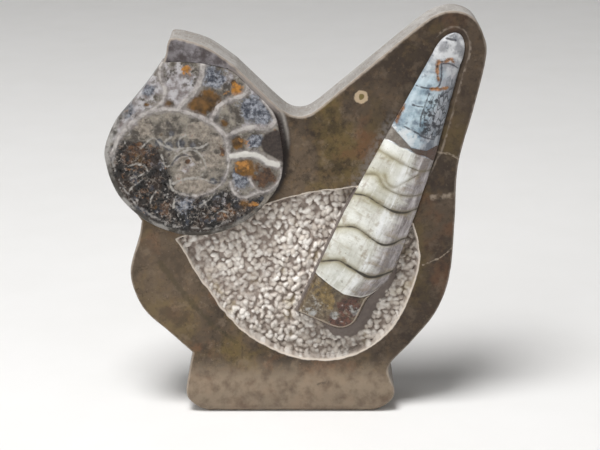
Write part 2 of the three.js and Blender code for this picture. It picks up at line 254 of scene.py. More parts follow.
def make_piece(name, points, faces, slots, fields, sharp):
    """An object with a material slot for each face, a value of each field for each point, and sharp edges."""
    mesh = bpy.data.meshes.new(name)
    mesh.from_pydata(points.tolist(), [], faces)
    mesh.polygons.foreach_set("material_index", slots)
    mesh.shade_smooth()
    for field, values in fields.items():
        mesh.attributes.new(field, "FLOAT", "POINT").data.foreach_set("value", np.asarray(values, np.float32))
    mesh.set_sharp_from_angle(angle=math.radians(sharp))
    piece = bpy.data.objects.new(name, mesh)
    bpy.context.scene.collection.objects.link(piece)
    print(name, "has", len(points), "points and", sum(len(f) - 2 for f in faces), "triangles")
    return piece


test_square = np.array([(0, 0), (1, 0), (1, 1), (0, 1)])
print("a test square fills with", len(fill(test_square, np.zeros((0, 2)))[1]), "triangles")

# %% [markdown]
# ## The outlines on the stone
# Five lines are drawn on the face: the outline of the slab, the raised ground round the ammonite, the
# ammonite itself, the rim of the hollow, and the orthoceras. The orthoceras is easiest to draw along its
# own axis, which tilts to the right, so it has its own pair of measures: s along the axis from the open
# end, and u across it.

# %% The slab, its raised ground and its hollow
slab_parts = [
    [(-29.5, 0), (29.5, 0)],
    [(29.5, 0), (33.4, 1.3), (36.4, 4.4), (37.4, 8.2), (35.4, 16), (43.2, 25.2), (52, 36.6), (56.6, 50),
     (58, 70), (58.8, 90), (63.8, 110), (67.7, 128), (66.6, 135.6), (62.8, 141.6), (56.4, 143.8),
     (49.4, 142), (42.4, 137)],
    [(42.4, 137), (10.4, 110.2)],
    [(10.4, 110.2), (6.6, 107.7), (2.8, 107), (-1, 108.2), (-5.4, 111.9)],
    [(-5.4, 111.9), (-19, 125.1)],
    [(-19, 125.1), (-28.3, 131.5), (-37.4, 134.5)],
    [(-37.4, 134.5), (-41, 134.7), (-42.2, 132.4)],
    [(-42.2, 132.4), (-43.6, 126.6), (-50.2, 115.8), (-59.4, 104.4), (-63.4, 95), (-61, 83), (-52.4, 69.8)],
    [(-52.4, 69.8), (-53.4, 64), (-56.8, 50.6), (-52.6, 38), (-43.6, 29.2), (-35, 21.2)],
    [(-35, 21.2), (-36.5, 14), (-37.4, 8.2), (-36.4, 4.4), (-33.4, 1.3), (-29.5, 0)],
]
slab_edge = loop_through(slab_parts, 0.6)

pad_right = [(-14, 76), (-5, 79), (-1.2, 86), (0.2, 96), (-0.8, 105), (-4, 116)]
pad_back = [(-4, 116), (-4, 150), (-70, 150), (-70, 76), (-14, 76)]
pad_edge = loop_through([pad_right] + [list(ends) for ends in zip(pad_back, pad_back[1:])], 1.0)

hollow_parts = [
    [(-40.2, 63.4), (-32.1, 49.4), (-20.6, 33.4), (-7.5, 23.4), (9, 18.7), (24, 21.2), (36, 30.4),
     (43, 44.4), (45.6, 57), (43.4, 69)],
    [(43.4, 69), (30, 74)],
    [(30, 74), (26, 82.8)],
    [(26, 82.8), (21, 82), (6, 80), (-7.3, 76.4)],
    [(-7.3, 76.4), (-14, 74)],
    [(-14, 74), (-40.2, 63.4)],
]
hollow_rim = loop_through(hollow_parts, 0.5)
hollow_rim = hollow_rim + (cloud(hollow_rim, 3, 3) - 0.5)[:, None] * 0.4
print("slab outline:", len(slab_edge), "points; hollow rim:", len(hollow_rim), "points")

# %% The ammonite and the orthoceras
ammonite_edge = loop_through([[
    (-44.2, 126.6), (-48.6, 120.2), (-54.4, 113), (-61.2, 104.8), (-64.7, 96), (-64.2, 89.6),
    (-62.3, 83.4), (-58.8, 77.4), (-51.8, 70.8), (-44.6, 67.1), (-37.4, 65.1), (-29.2, 65.1),
    (-20.9, 67.5), (-13.7, 71.9), (-7.6, 78.2), (-3.8, 84.2), (-2.4, 92), (-3.2, 101), (-5, 107.6),
    (-7.8, 111.9), (-13.6, 117.6), (-20.4, 123.8), (-29.4, 126.1), (-37.5, 126.8), (-44.2, 126.6),
]], 0.5)

AXIS_TILT = math.radians(24.3)
AXIS_START = np.array([11.0, 33.0])
AXIS = np.array([math.sin(AXIS_TILT), math.cos(AXIS_TILT)])
ACROSS = np.array([math.cos(AXIS_TILT), -math.sin(AXIS_TILT)])
SHELL_LENGTH, TIP_ROUND, CORNER = 113.3, 104.0, 7.0
left_side = np.array([(0, -9.5), (40, -9.3), (72, -7.2), (104, -4.9)])
right_side = np.array([(0, 11.3), (14, 11.3), (17.5, 12.6), (24, 15.2), (30, 15.5), (50, 13.8),
                       (72, 11.2), (104, 5.4)])


def off_axis(s, u):
    return AXIS_START + np.multiply.outer(s, AXIS) + np.multiply.outer(u, ACROSS)


def on_axis(points):
    return (points - AXIS_START) @ AXIS, (points - AXIS_START) @ ACROSS


def shell_sides(s):
    """The left and right edge at s; the tip is round and so is the open end's right corner."""
    left, right = (np.interp(s, side[:, 0], side[:, 1]) for side in (left_side, right_side))
    share = np.clip((s - TIP_ROUND) / (SHELL_LENGTH - TIP_ROUND), 0, 1)
    middle, narrow = (left + right) / 2, np.sqrt(1 - share**2)
    corner = CORNER - np.sqrt(np.maximum(CORNER**2 - np.clip(CORNER - s, 0, CORNER) ** 2, 0))
    return middle + (left - middle) * narrow, middle + (right - middle) * narrow - corner


up = np.unique(np.r_[
    np.linspace(0, CORNER, 20), np.arange(CORNER + 0.5, TIP_ROUND, 0.6),
    TIP_ROUND + (SHELL_LENGTH - TIP_ROUND - 0.01) * np.sin(np.linspace(0, np.pi / 2, 20)),
])
footprint = np.vstack([
    off_axis(up, shell_sides(up)[1]),
    off_axis(up, shell_sides(up)[0])[::-1],
    even(off_axis(np.zeros(2), np.array([left_side[0, 1], right_side[0, 1] - CORNER])), 0.6)[1:-1],
])
print("ammonite outline:", len(ammonite_edge), "points; orthoceras outline:", len(footprint), "points")

# %% [markdown]
# ## The pecked floor
# A pointed tool has bruised the hollow into small round lumps, some of them run together into longer
# ones. They could be painted as bump, but they catch light and cast shade, so they are real shape here.
# They stand in rows that were shaken well: each lump is an oval dome with its own place, turn, size and
# height, and the highest one at a point wins.

# %% Lumps and creases
FLOOR_DEPTH, LUMP_HEIGHT = 3.9, 1.45
LUMP_PITCH = np.array([2.0, 1.75])


def lumpy(points):
    """For each point: how high its lump rises there, from 0 to about 1, and a shade of the lump's own."""
    shaken = points + np.column_stack([cloud(points, 1.5, 13), cloud(points, 1.5, 14)]) * 0.7
    cell = np.floor(shaken / LUMP_PITCH)
    rise, shade = np.zeros((2, len(points)))
    for i, j in ((cell[:, 0] + a, cell[:, 1] + b) for a in range(-2, 3) for b in range(-2, 3)):
        x = shaken[:, 0] - (i + (j % 2) / 2 + 0.8 * scatter(i, j, 4)) * LUMP_PITCH[0]
        z = shaken[:, 1] - (j + 0.8 * scatter(i, j, 5)) * LUMP_PITCH[1]
        turn = np.pi * scatter(i, j, 8)
        long = (x * np.cos(turn) + z * np.sin(turn)) / (1 + 0.7 * scatter(i, j, 9))
        short = z * np.cos(turn) - x * np.sin(turn)
        dome = 1 - (long**2 + short**2) / (0.85 + 0.45 * scatter(i, j, 6)) ** 2
        height = np.clip(dome, 0, 1) ** 0.7 * (0.5 + 0.5 * scatter(i, j, 1))
        shade = np.where(height > rise, scatter(i, j, 7), shade)
        rise = np.maximum(rise, height)
    return rise, shade


print("lumps every", LUMP_PITCH, "mm")

# %% [markdown]
# ## The front of the slab
# The face starts as the plain drawing and is cut in the order a mason would work. The edge is eased, the
# ground round the ammonite stays proud, the hollow is sunk, and a ledge is left standing under the
# orthoceras. Where a fossil lies, a seat is sunk that the fossil covers. Each cut is a depth that depends
# on a distance, so all of them can be read and changed one by one.

# %% Cutting the face
PAD_PROUD, LEDGE_DROP, FAR = 2.4, 4.6, 9.0
AMMONITE_DEPTH, SHELL_DEPTH, FOSSIL_GAP = 4.7, 2.5, 0.3
chips = [(66.4, 134.6, 2.6, 1.5), (-38.2, 132.8, 1.8, 1.2), (-33, 132.4, 1.2, 0.8),
         (30, 126.2, 1.4, 0.7), (37, 132, 1.2, 0.6), (-22, 126.6, 1.0, 0.6), (56.8, 51, 1.2, 0.5),
         (-55.8, 54, 1.0, 0.5), (17, 115.6, 1.0, 0.6)]


def blot(points, x, z, reach):
    """A soft round patch: 1 in its middle and near 0 beyond its reach."""
    return np.exp(-((points[:, 0] - x) ** 2 + (points[:, 1] - z) ** 2) / reach**2)


def edge_width(points):
    """How far in from the outline the rounded edge starts: wider at the foot and where a flake is off."""
    width = 0.75 + 0.5 * cloud(points, 4, 11) * cloud(points, 1.3, 12)
    for x, z, reach, more in chips:
        width = width + more * blot(points, x, z, reach)
    return width + 1.8 * ease(6, 1.5, points[:, 1])


def ledge_width(s, u):
    """How wide the ledge under the orthoceras slopes out: broad at the lower right, steep elsewhere."""
    side = np.where(u > 1, 6.8 - 6.0 * ease(13, 34, s), 0.9)
    end = 0.9 + 5.9 * ease(-2, 10, u)
    return side + (end - side) * ease(3, 0, s)


def sink_hollow(points, rim, beyond):
    """The depth of the hollow, and its fields; beyond is the distance outside the orthoceras."""
    sunk = rim > 0
    rise, shade = np.zeros((2, len(points)))
    rise[sunk], shade[sunk] = lumpy(points[sunk])
    worn = 0.7 + 0.3 * ease(0.2, 0.5, cloud(points, 8, 21))
    crumbs = 0.3 * (cloud(points, 0.7, 24) - 0.5)
    floor = (FLOOR_DEPTH - LUMP_HEIGHT * rise * worn - crumbs) * ease(0, 1.0, rim)
    slope = np.clip((beyond - 0.2) / (ledge_width(*on_axis(points)) - 0.2), 0, 1)
    ledge = LEDGE_DROP * slope + 0.1 * (cloud(points, 1.1, 23) - 0.5)
    scraped = np.where(sunk, ease(-0.3, 0.3, floor - ledge), 0.0)
    return np.minimum(floor, ledge), {"lump": rise * worn, "shade": shade, "ledge": scraped}


def cut_face(points):
    """The depth of the whole face and the fields for its finish."""
    z, (s, u) = points[:, 1], on_axis(points)
    edge, rim = distance_to(points, closed(slab_edge)), how_far_in(points, hollow_rim)
    beyond, in_pad = -how_far_in(points, footprint), how_far_in(points, pad_edge)
    flat = rim <= 0
    bevel = np.interp(z, [86, 104], [5.0, 1.6])
    hollow_depth, fields = sink_hollow(points, rim, beyond)
    depth = np.where(flat, -PAD_PROUD * ease(0, 1, in_pad / bevel), hollow_depth)
    on_left = (u < 0) & (s > 38) & (s < 84)
    tooled = np.where(on_left & flat, ease(4.6, 0.6, beyond) * ease(38, 50, s) * ease(84, 72, s), 0)
    on_right = (u > 0) & (s > 60)
    fields |= {
        "edge": edge,
        "rim": rim,
        "ground": ease(-0.6, 1.4, in_pad),
        # Where a highlight is painted on the bevel at the right of the raised ground.
        "bevel_highlight": np.exp(-(((in_pad - 0.9) / 0.5) ** 2)) * ease(94, 104, z) * ease(116, 111, z),
        "tooled": tooled,
        "ridge": np.where((on_right | (s > 108)) & flat, np.abs(beyond - 2.0 * ease(60, 80, s)), FAR),
    }
    depth = depth + 0.35 * tooled * (0.4 + cloud(points, 1.2, 31))
    depth = depth + 0.3 * ease(1.6, 0.2, beyond) * (s > 40) * flat
    width = edge_width(points)
    inner = np.clip(width - edge, 0, None)
    depth = depth + width - np.sqrt(np.maximum(width**2 - inner**2, 0))
    depth = depth + (SHELL_DEPTH + FOSSIL_GAP - depth) * ease(0, -0.4, beyond)
    in_disc = ease(-0.05, 0.35, how_far_in(points, ammonite_edge))
    return depth + (AMMONITE_DEPTH + FOSSIL_GAP - depth) * in_disc, fields


print(len(chips), "flakes have come off the edge; the hollow is", FLOOR_DEPTH, "mm deep")

# %% Spreading the points of the face
FACE_LOW, FACE_HIGH = (-66, 0), (70, 145)


def keep_on_face(points, margin):
    near = distance_to(points, closed(slab_edge))
    return points[inside(points, slab_edge) & (near > margin)]


rows = [inset(slab_edge, share * edge_width(slab_edge)) for share in (0.1, 0.35, 0.7, 1.05)]
for outline, steps in (
    (hollow_rim, (-0.5, -0.02, 0.3, 0.7, 1.2)),
    (ammonite_edge, (-0.45, -0.06, 0.36)),
    (footprint, (-1.7, -0.9, -0.02, 0.42)),
):
    rows += [inset(outline, step) for step in steps]
rows += [even(spline(pad_right), 0.6) - (away, 0) for away in (0.0, 0.8, 1.6, 3.0)]
guides = thin_out(keep_on_face(np.vstack(rows), 0.08), 0.14)

open_ground = keep_on_face(honeycomb(FACE_LOW, FACE_HIGH, 1.25, 41), 1.5)
open_ground = open_ground[how_far_in(open_ground, hollow_rim) < -0.9]
pecked_floor = honeycomb((-42, 16), (48, 85), 0.31, 43)
pecked_floor = pecked_floor[how_far_in(pecked_floor, hollow_rim) > 0.5]
loose = np.vstack([guides, thin_out(np.vstack([open_ground, pecked_floor]), 0.14)])
front_drawn, front_faces, front_row = fill(slab_edge, loose)
front_depth, front_fields = cut_face(front_drawn)
print("front:", len(front_faces), "triangles, cut down to", front_depth.max().round(2), "mm")

# %% [markdown]
# ## The sides and the back of the slab
# The sides were sawn and then sanded, so they run straight back and keep faint waves from the saw. A row
# of points is carried back from the outline in a few steps, the last ones drawn in a little so that the
# back edge is eased too. The back is filled in the same way as the front. Nobody sees it on a shelf, so
# it was left as sawn.

# %% Joining front, sides and back
BACK_ROUND, SIDE_STEPS, SLAB_SHARP = 1.0, 9, 55
POLISHED, PECKED, SANDED, SAWN = range(4)
front = to_space(front_drawn, front_depth)
middles = np.array([front_drawn[list(f)].mean(0) for f in front_faces])
front_slots = list(np.where(how_far_in(middles, hollow_rim) > 0, PECKED, POLISHED))

front_y = front[front_row, 1] / MM
wave = (cloud(slab_edge, 7, 51) - 0.5) * 0.25 * ease(3, 8, slab_edge[:, 1])
behind = []
for share in np.arange(1, SIDE_STEPS + 1) / SIDE_STEPS:
    flat = inset(slab_edge, np.maximum(wave * math.sin(share * math.pi), 0) + 0.001)
    y = front_y + (BACK_Y - BACK_ROUND - front_y) * share
    behind.append(np.column_stack([flat[:, 0], y, flat[:, 1]]))
for turn in np.radians((30, 60, 90)):
    flat = inset(slab_edge, BACK_ROUND * (1 - math.cos(turn)))
    y = np.full(len(flat), BACK_Y - BACK_ROUND + BACK_ROUND * math.sin(turn))
    behind.append(np.column_stack([flat[:, 0], y, flat[:, 1]]))
side_faces, _ = skirt(front_row, len(front), len(behind))

back_edge = thin_out(behind[-1][:, [0, 2]], 0.02)
back_drawn, back_faces, _ = fill(back_edge, keep_on_face(honeycomb(FACE_LOW, FACE_HIGH, 2.6, 61), 2.2))
back = np.column_stack([back_drawn[:, 0], np.full(len(back_drawn), BACK_Y), back_drawn[:, 1]])
slab_points = np.vstack([front, np.vstack(behind + [back]) * MM])
first_back = len(slab_points) - len(back)
slab_faces = front_faces + side_faces + [tuple(first_back + k for k in reversed(f)) for f in back_faces]
slab_slots = front_slots + [SANDED] * len(side_faces) + [SAWN] * len(back_faces)

rest = len(slab_points) - len(front)
slab_fields = {
    name: np.r_[values, np.full(rest, FAR if name == "ridge" else 0.0)]
    for name, values in front_fields.items()
}
from_front = np.concatenate([ring[:, 1] - front_y for ring in behind])
slab_fields["edge"] = np.r_[front_fields["edge"], from_front, np.full(len(back), FAR)]
slab = make_piece("limestone_slab", slab_points, slab_faces, slab_slots, slab_fields, SLAB_SHARP)

# %% [markdown]
# ## One closed slab
# The slab was filled in three parts, so the points where the back meets the sides lie double. Stone has
# no such seams. A piece can be closed by sharing the points from the start, but where crowded points fall
# together at a corner it is simpler to join what lies on one spot afterwards.

# %% Welding the seams
import bmesh

SAME_SPOT, NO_LENGTH = 0.01 * MM, 0.002 * MM


def weld(piece, sharp):
    work = bmesh.new()
    work.from_mesh(piece.data)
    before = len(work.verts)
    bmesh.ops.remove_doubles(work, verts=work.verts, dist=SAME_SPOT)
    bmesh.ops.dissolve_degenerate(work, edges=work.edges, dist=NO_LENGTH)
    open_edges = sum(not e.is_manifold for e in work.edges)
    work.to_mesh(piece.data)
    work.free()
    piece.data.set_sharp_from_angle(angle=math.radians(sharp))
    print(piece.name, "welded", before - len(piece.data.vertices), "points; open edges:", open_edges)


weld(slab, SLAB_SHARP)

# %% [markdown]
# ## The ammonite
# The spiral shell was cut through the middle, so its chambers show as rooms with white walls. The tube
# grew as it turned, and the walls between the rooms, the septa, bend forwards as they reach the outer
# edge. Only the rim on the left and below stands free of the stone, and there it is rounded like the rim
# of a plate. The walls are drawn as lines, and each point of the mesh keeps its distance to them
# for the finish.

# %% Walls of the ammonite, drawn as lines
whorl_wall = [
    (0.6, [(-62.4, 94), (-60.9, 97), (-59.3, 100.6), (-54.1, 106.3), (-47.9, 109.7), (-40.8, 110.4),
           (-34.7, 108.9), (-28.7, 106.3), (-23.6, 102.2), (-21.6, 97.5), (-21.4, 92.3)]),
    (0.15, [(-21.4, 92.3), (-22.3, 87.1), (-25.9, 82.4), (-32.1, 79.8), (-38.2, 79.8)]),
]
septa = [
    (0.5, [(-47.9, 109.9), (-44.3, 113), (-43.2, 117.1), (-44.7, 121.2), (-44.6, 126.8)]),
    (0.8, [(-38.8, 110.4), (-36.7, 113), (-32.6, 117.1), (-30.5, 122.2), (-29.9, 126.3)]),
    (0.6, [(-27.7, 105.8), (-24.6, 111.5), (-20.5, 113.8), (-15.9, 115.6), (-14.6, 118.6),
           (-16.4, 122.2), (-17.9, 124.3)]),
    (0.6, [(-22.1, 100.6), (-18.5, 102.7), (-13.4, 104), (-8.4, 103.5), (-5.3, 105.8), (-6.1, 109.4),
           (-9.3, 114), (-10.3, 117.1)]),
    (1.0, [(-20.7, 93.9), (-15.6, 94.4), (-11, 93.9), (-7.9, 91.8), (-4.3, 90.8)]),
    (0.4, [(-20.7, 84.5), (-19.5, 80.8), (-15.7, 79.2), (-10.5, 81.3)]),
    (0.25, [(-14.1, 85.5), (-11, 81.3), (-6.9, 81.9), (-3.3, 86.1), (-3.3, 89.2)]),
]
threads = [
    (0.3, [(-45.1, 97.9), (-42.6, 97), (-40.3, 96.2), (-36.3, 96.7), (-31.8, 96.7), (-28.4, 98.4)]),
    (0.2, [(-41.1, 90.8), (-39, 94.4), (-34.4, 96), (-30.9, 93.9), (-29.4, 89.2), (-32, 86.2),
           (-37.1, 85.4), (-41.3, 84)]),
    (0.3, [(-42, 84.8), (-41.4, 82), (-38.5, 80.6), (-32.6, 79.4)]),
    (0.25, [(-40.9, 84), (-36.5, 85.7), (-31.5, 85.7), (-26.8, 84.5)]),
    (0.2, [(-44.8, 94.2), (-43.6, 90.2), (-41.1, 90.8)]),
    (0.2, [(-42.2, 96.8), (-43.4, 98.6), (-41.2, 100.6)]),
    (0.2, [(-38.4, 96.4), (-38.6, 99.4), (-36.2, 101.2)]),
    (0.15, [(-51.9, 96.6), (-47.6, 100.2), (-44.9, 97.6)]),
    (0.15, [(-56.3, 90.1), (-53.6, 90.9), (-50.8, 90.3), (-49.8, 88.4)]),
    (0.15, [(-56.4, 85.7), (-53.6, 86.4), (-50.9, 87.8)]),
    (0.1, [(-56.5, 80.9), (-55, 82.9), (-51.4, 85.5)]),
    (0.2, [(-49.1, 76.8), (-48.4, 79.2), (-47, 81.2)]),
    (0.2, [(-40.9, 75.2), (-40.7, 77.4), (-40.1, 79.4)]),
    (0.1, [(-31.6, 76.1), (-28.3, 78.3), (-26.2, 81.2)]),
    (0.1, [(-27.9, 71.5), (-24.7, 74.1), (-21.9, 73.6)]),
]
clefts_of_spiral = [
    [(-41.2, 90.7), (-40.3, 92.3), (-38.5, 93.7), (-36.3, 94.0), (-34.7, 93.5)],
    [(-21.8, 89.5), (-22.6, 86.6), (-23.9, 84.8), (-26.4, 84.4)],
    [(-32.0, 79.2), (-28.4, 80.2), (-25.4, 81.6)],
]
rooms = {
    "left": [(-44.6, 127), (-50, 119.5), (-60.6, 106.6), (-65, 96.5), (-60.9, 97), (-54.1, 106.3),
             (-47.9, 109.9), (-44.3, 113), (-43.2, 117.1), (-44.7, 121.2)],
    "milky": septa[0][1] + [(-29.9, 127)] + septa[1][1][::-1],
    "amber": septa[1][1] + [(-17.9, 125)] + septa[2][1][::-1] + [(-33, 108.6)],
    "blue": septa[2][1][:5] + [(-10.3, 117.6)] + septa[3][1][::-1],
    "small": septa[3][1][:5] + [(-3, 100), (-4.3, 90.8)] + septa[4][1][::-1],
    "olive": septa[4][1] + [(-2.6, 88)] + septa[6][1][::-1] + [(-20, 88)],
    "grey": [(-21.3, 91), (-14.5, 88), (-12.4, 82), *septa[5][1][::-1]],
}
crust_edge = np.array([
    (-63, 97), (-57.5, 99.4), (-51, 98.2), (-46.5, 96), (-43.2, 93), (-42.5, 88), (-41, 82), (-36, 79),
    (-28, 79), (-23, 81.5), (-19, 80), (-14, 78), (-9, 80), (-5, 81.5), (-2, 79), (-12, 67), (-30, 61),
    (-52, 66), (-67, 80), (-69, 97),
])
print(len(septa), "septa,", len(threads), "fine threads and", len(rooms), "rooms")

# %% [markdown]
# ## Minerals in the rooms
# After the animal died, mud or crystals filled each room, so every room has its own mineral: milky
# calcite, amber calcite, smoky blue crystals, rust. One flat colour for each room would look like a
# cartoon. Instead each mineral has soft patches with a place and a size, some of them kept to one room,
# and the finish later mixes them with noise.

# %% Patches of mineral
minerals = {
    "milk": [("milky", -38.6, 118.1, 9, 1.0), ("left", -50, 118, 6, 1.0), ("left", -60, 103, 5, 1.1),
             ("left", -54, 111, 7, 0.8), ("blue", -12.0, 117.3, 3.2, 1.0),
             ("blue", -8.2, 114.6, 3.0, 0.8), ("blue", -14.8, 103.7, 3.0, 0.8),
             ("blue", -10.0, 104.1, 3.0, 0.9), ("blue", -6.1, 105.0, 2.4, 0.9),
             ("amber", -21.5, 121, 4.2, 0.6), (None, -36, 92, 6.0, 0.35), (None, -55.8, 105.4, 4.2, 0.7),
             ("grey", -18.4, 82.4, 2.6, 0.6)],
    "amber": [("milky", -42.0, 112.0, 2.6, 0.8), ("amber", -31.0, 111.6, 4.2, 1.2),
              ("amber", -27.0, 112.4, 4.4, 1.2), ("amber", -28.0, 115.4, 3.0, 0.9),
              ("amber", -19.6, 119.6, 1.8, 0.7), ("blue", -22.8, 105.6, 1.9, 0.8),
              ("small", -18.2, 98.6, 2.8, 1.1), ("olive", -15.6, 89.6, 4.2, 1.0),
              (None, -16.2, 76.9, 2.4, 0.8), (None, -49.8, 112.0, 1.6, 0.6),
              (None, -47.4, 75.2, 1.7, 0.6), (None, -53.0, 92.6, 2.8, 0.7), (None, -44.6, 101.6, 1.6, 0.5)],
    "honey": [("milky", -35.6, 124.1, 2.4, 0.75), ("amber", -21.8, 116.0, 2.2, 0.7),
              ("amber", -18.4, 117.0, 2.6, 0.9), ("olive", -17.0, 90.4, 2.2, 0.7),
              (None, -12.6, 76.6, 1.6, 0.6), ("small", -17.0, 98.8, 1.8, 0.6)],
    "smoke": [("left", -48.8, 117.1, 3.0, 0.7), ("left", -56.5, 109.9, 3.2, 0.9),
              ("amber", -26.4, 121.6, 5.0, 0.9), ("blue", -12.4, 110.4, 5.4, 1.1),
              ("blue", -9.0, 107.4, 3.4, 1.0), ("small", -12.2, 99.4, 3.0, 1.1),
              ("grey", -17.1, 86.1, 4.4, 1.0), (None, -37.0, 75.6, 4.2, 0.7),
              (None, -46.2, 90, 4.2, 0.5), ("milky", -34, 119.4, 3.0, 0.5), (None, -25, 77.6, 3.0, 0.5)],
    "slate": [(None, -42.3, 97.2, 1.8, 1.2), (None, -38.2, 98.0, 1.9, 1.2),
              (None, -33.9, 97.6, 1.5, 1.0), (None, -45.7, 98.6, 1.5, 1.2),
              (None, -41.2, 101.8, 1.4, 1.0), (None, -27.0, 84.9, 1.6, 0.9), (None, -23.4, 85.6, 1.4, 0.9)],
    "rust": [(None, -54.2, 94.6, 4.8, 0.85), (None, -48.8, 91.6, 4.6, 0.6),
             ("amber", -31.6, 110.6, 3.0, 0.9), (None, -45.0, 75.4, 3.6, 0.6),
             (None, -23.9, 72.9, 6.0, 0.55), ("olive", -9.0, 86.0, 5.4, 0.8),
             (None, -14.4, 74.6, 4.0, 0.55), (None, -24.2, 96.6, 3.0, 0.5),
             (None, -36.0, 91.8, 1.1, 1.0), (None, -51.2, 81.8, 2.8, 0.6)],
    "sand": [(None, -36.4, 82.4, 3.6, 1.6), (None, -32.4, 82.4, 3.8, 1.8), (None, -29.0, 83.0, 3.0, 1.4),
             (None, -35.4, 90.6, 4.6, 1.0), (None, -36.2, 87.6, 4.0, 0.9), (None, -27.0, 92.2, 4.4, 1.0),
             (None, -51.2, 103.8, 3.8, 1.2), (None, -31.0, 102.8, 4.6, 1.0),
             (None, -42.6, 104.4, 6.4, 0.5), (None, -25.6, 98.8, 3.4, 1.0),
             ("milky", -40.8, 117.4, 3.2, 0.6)],
}


def mineral_share(points, patches):
    """The share of one mineral at each point; a patch is (room or None, its place, its reach, its amount)."""
    share = np.zeros(len(points))
    for room, x, z, reach, amount in patches:
        patch = amount * blot(points, x, z, reach)
        if room:
            patch = patch * ease(-0.5, 0.3, how_far_in(points, np.array(rooms[room])))
        share = np.maximum(share, patch)
    return share


print({name: len(patches) for name, patches in minerals.items()})

# %% [markdown]
# ## The mesh of the ammonite
# The cut face is almost flat, because it was polished, but not quite: the walls stand a hair proud, the
# dark lower half is a crust of small crystals, and the middle dips. Bump could fake that, but the mesh is
# fine enough to carry it. Its side drops into the seat, and a flat underside closes the piece.

# %% Shaping the ammonite
SPIRAL_MIDDLE, FREE_BEARING, FOSSIL_SHARP = np.array([-36, 92]), 222, 50
bite = np.array([
    (-8.9, 101.7), (-4.8, 103.4), (-1, 101), (-1, 90), (-4.6, 92.6), (-9.2, 95.4), (-10.4, 98.1),
])


def ammonite_fields_at(points):
    """What the finish has to know: distances to walls, threads and rim, and the share of each mineral."""
    rim = distance_to(points, closed(ammonite_edge))
    x, z = (points - SPIRAL_MIDDLE).T
    bearing = np.degrees(np.arctan2(z, x))
    bitten = ease(-0.4, 0.5, how_far_in(points, bite))
    right_edge = ease(0.6, 1.4, points[:, 0] + 5.6 - np.abs(points[:, 1] - 108) * 0.1) * (points[:, 1] > 100)
    return {
        "rim": rim,
        "wall": nearest_wall(points, whorl_wall + septa),
        "thread": nearest_wall(points, threads),
        "chalk": nearest_wall(points, [(0.8, septa[4][1])]),
        "cleft": nearest_line(points, clefts_of_spiral),
        "free": ease(-0.3, 0.4, np.cos(np.radians(bearing - FREE_BEARING))),
        "crust": ease(-4.0, 3.5, how_far_in(points, crust_edge)) * ease(0.5, 2.5, rim),
        "ground": np.maximum(bitten, right_edge),
    } | {name: mineral_share(points, patches) for name, patches in minerals.items()}


def ammonite_relief(points, fields):
    """The depth of the cut face: it dips in the middle, and its free rim is rounded."""
    rough = cloud(points, 1.0, 71) + 0.6 * cloud(points, 0.5, 72)
    depth = -PAD_PROUD + 0.5 * ease(22, 4, np.hypot(*(points - SPIRAL_MIDDLE).T))
    depth = depth + 0.55 * fields["crust"] * (rough - 0.55)
    depth = depth - 0.16 * ease(0.3, -0.3, fields["wall"]) - 0.1 * ease(0.3, -0.1, fields["thread"])
    depth = depth + 0.22 * fields["amber"] + 0.15 * fields["smoke"] * (rough - 0.3)
    drop, width = 0.25 + 1.9 * fields["free"], 0.5 + 3.0 * fields["free"]
    inner_edge = np.clip(width - fields["rim"], 0, None) / width
    return depth + drop * (1 - np.sqrt(1 - inner_edge**2))


rings = [inset(ammonite_edge, step) for step in (0.06, 0.2, 0.45, 0.8)]
disc_inside = honeycomb((-66, 64), (-1, 128), 0.34, 81)
disc_inside = disc_inside[how_far_in(disc_inside, ammonite_edge) > 0.9]
disc_drawn, disc_faces, disc_row = fill(ammonite_edge, thin_out(np.vstack(rings + [disc_inside]), 0.12))
disc_fields = ammonite_fields_at(disc_drawn)
disc_depth = ammonite_relief(disc_drawn, disc_fields)
print("ammonite face:", len(disc_faces), "triangles, relief", np.ptp(disc_depth).round(2), "mm")

# %% Closing the ammonite
brim_depth = disc_depth[disc_row]
wall_rows = [brim_depth + (AMMONITE_DEPTH - brim_depth) * share for share in (0.15, 0.4, 0.7, 1.0)]
wall_faces, low_row = skirt(disc_row, len(disc_drawn), len(wall_rows))
_, under_faces, under_row = fill(ammonite_edge, np.zeros((0, 2)))
under = dict(zip(under_row, low_row))
disc_points = np.vstack(
    [to_space(disc_drawn, disc_depth)] + [to_space(ammonite_edge, depth) for depth in wall_rows]
)
disc_faces = disc_faces + wall_faces + [tuple(under[k] for k in reversed(f)) for f in under_faces]
disc_fields = {
    name: np.concatenate([values] + [values[disc_row]] * len(wall_rows))
    for name, values in disc_fields.items()
}
disc_slots = [0] * len(disc_faces)
ammonite = make_piece("ammonite_disc", disc_points, disc_faces, disc_slots, disc_fields, FOSSIL_SHARP)
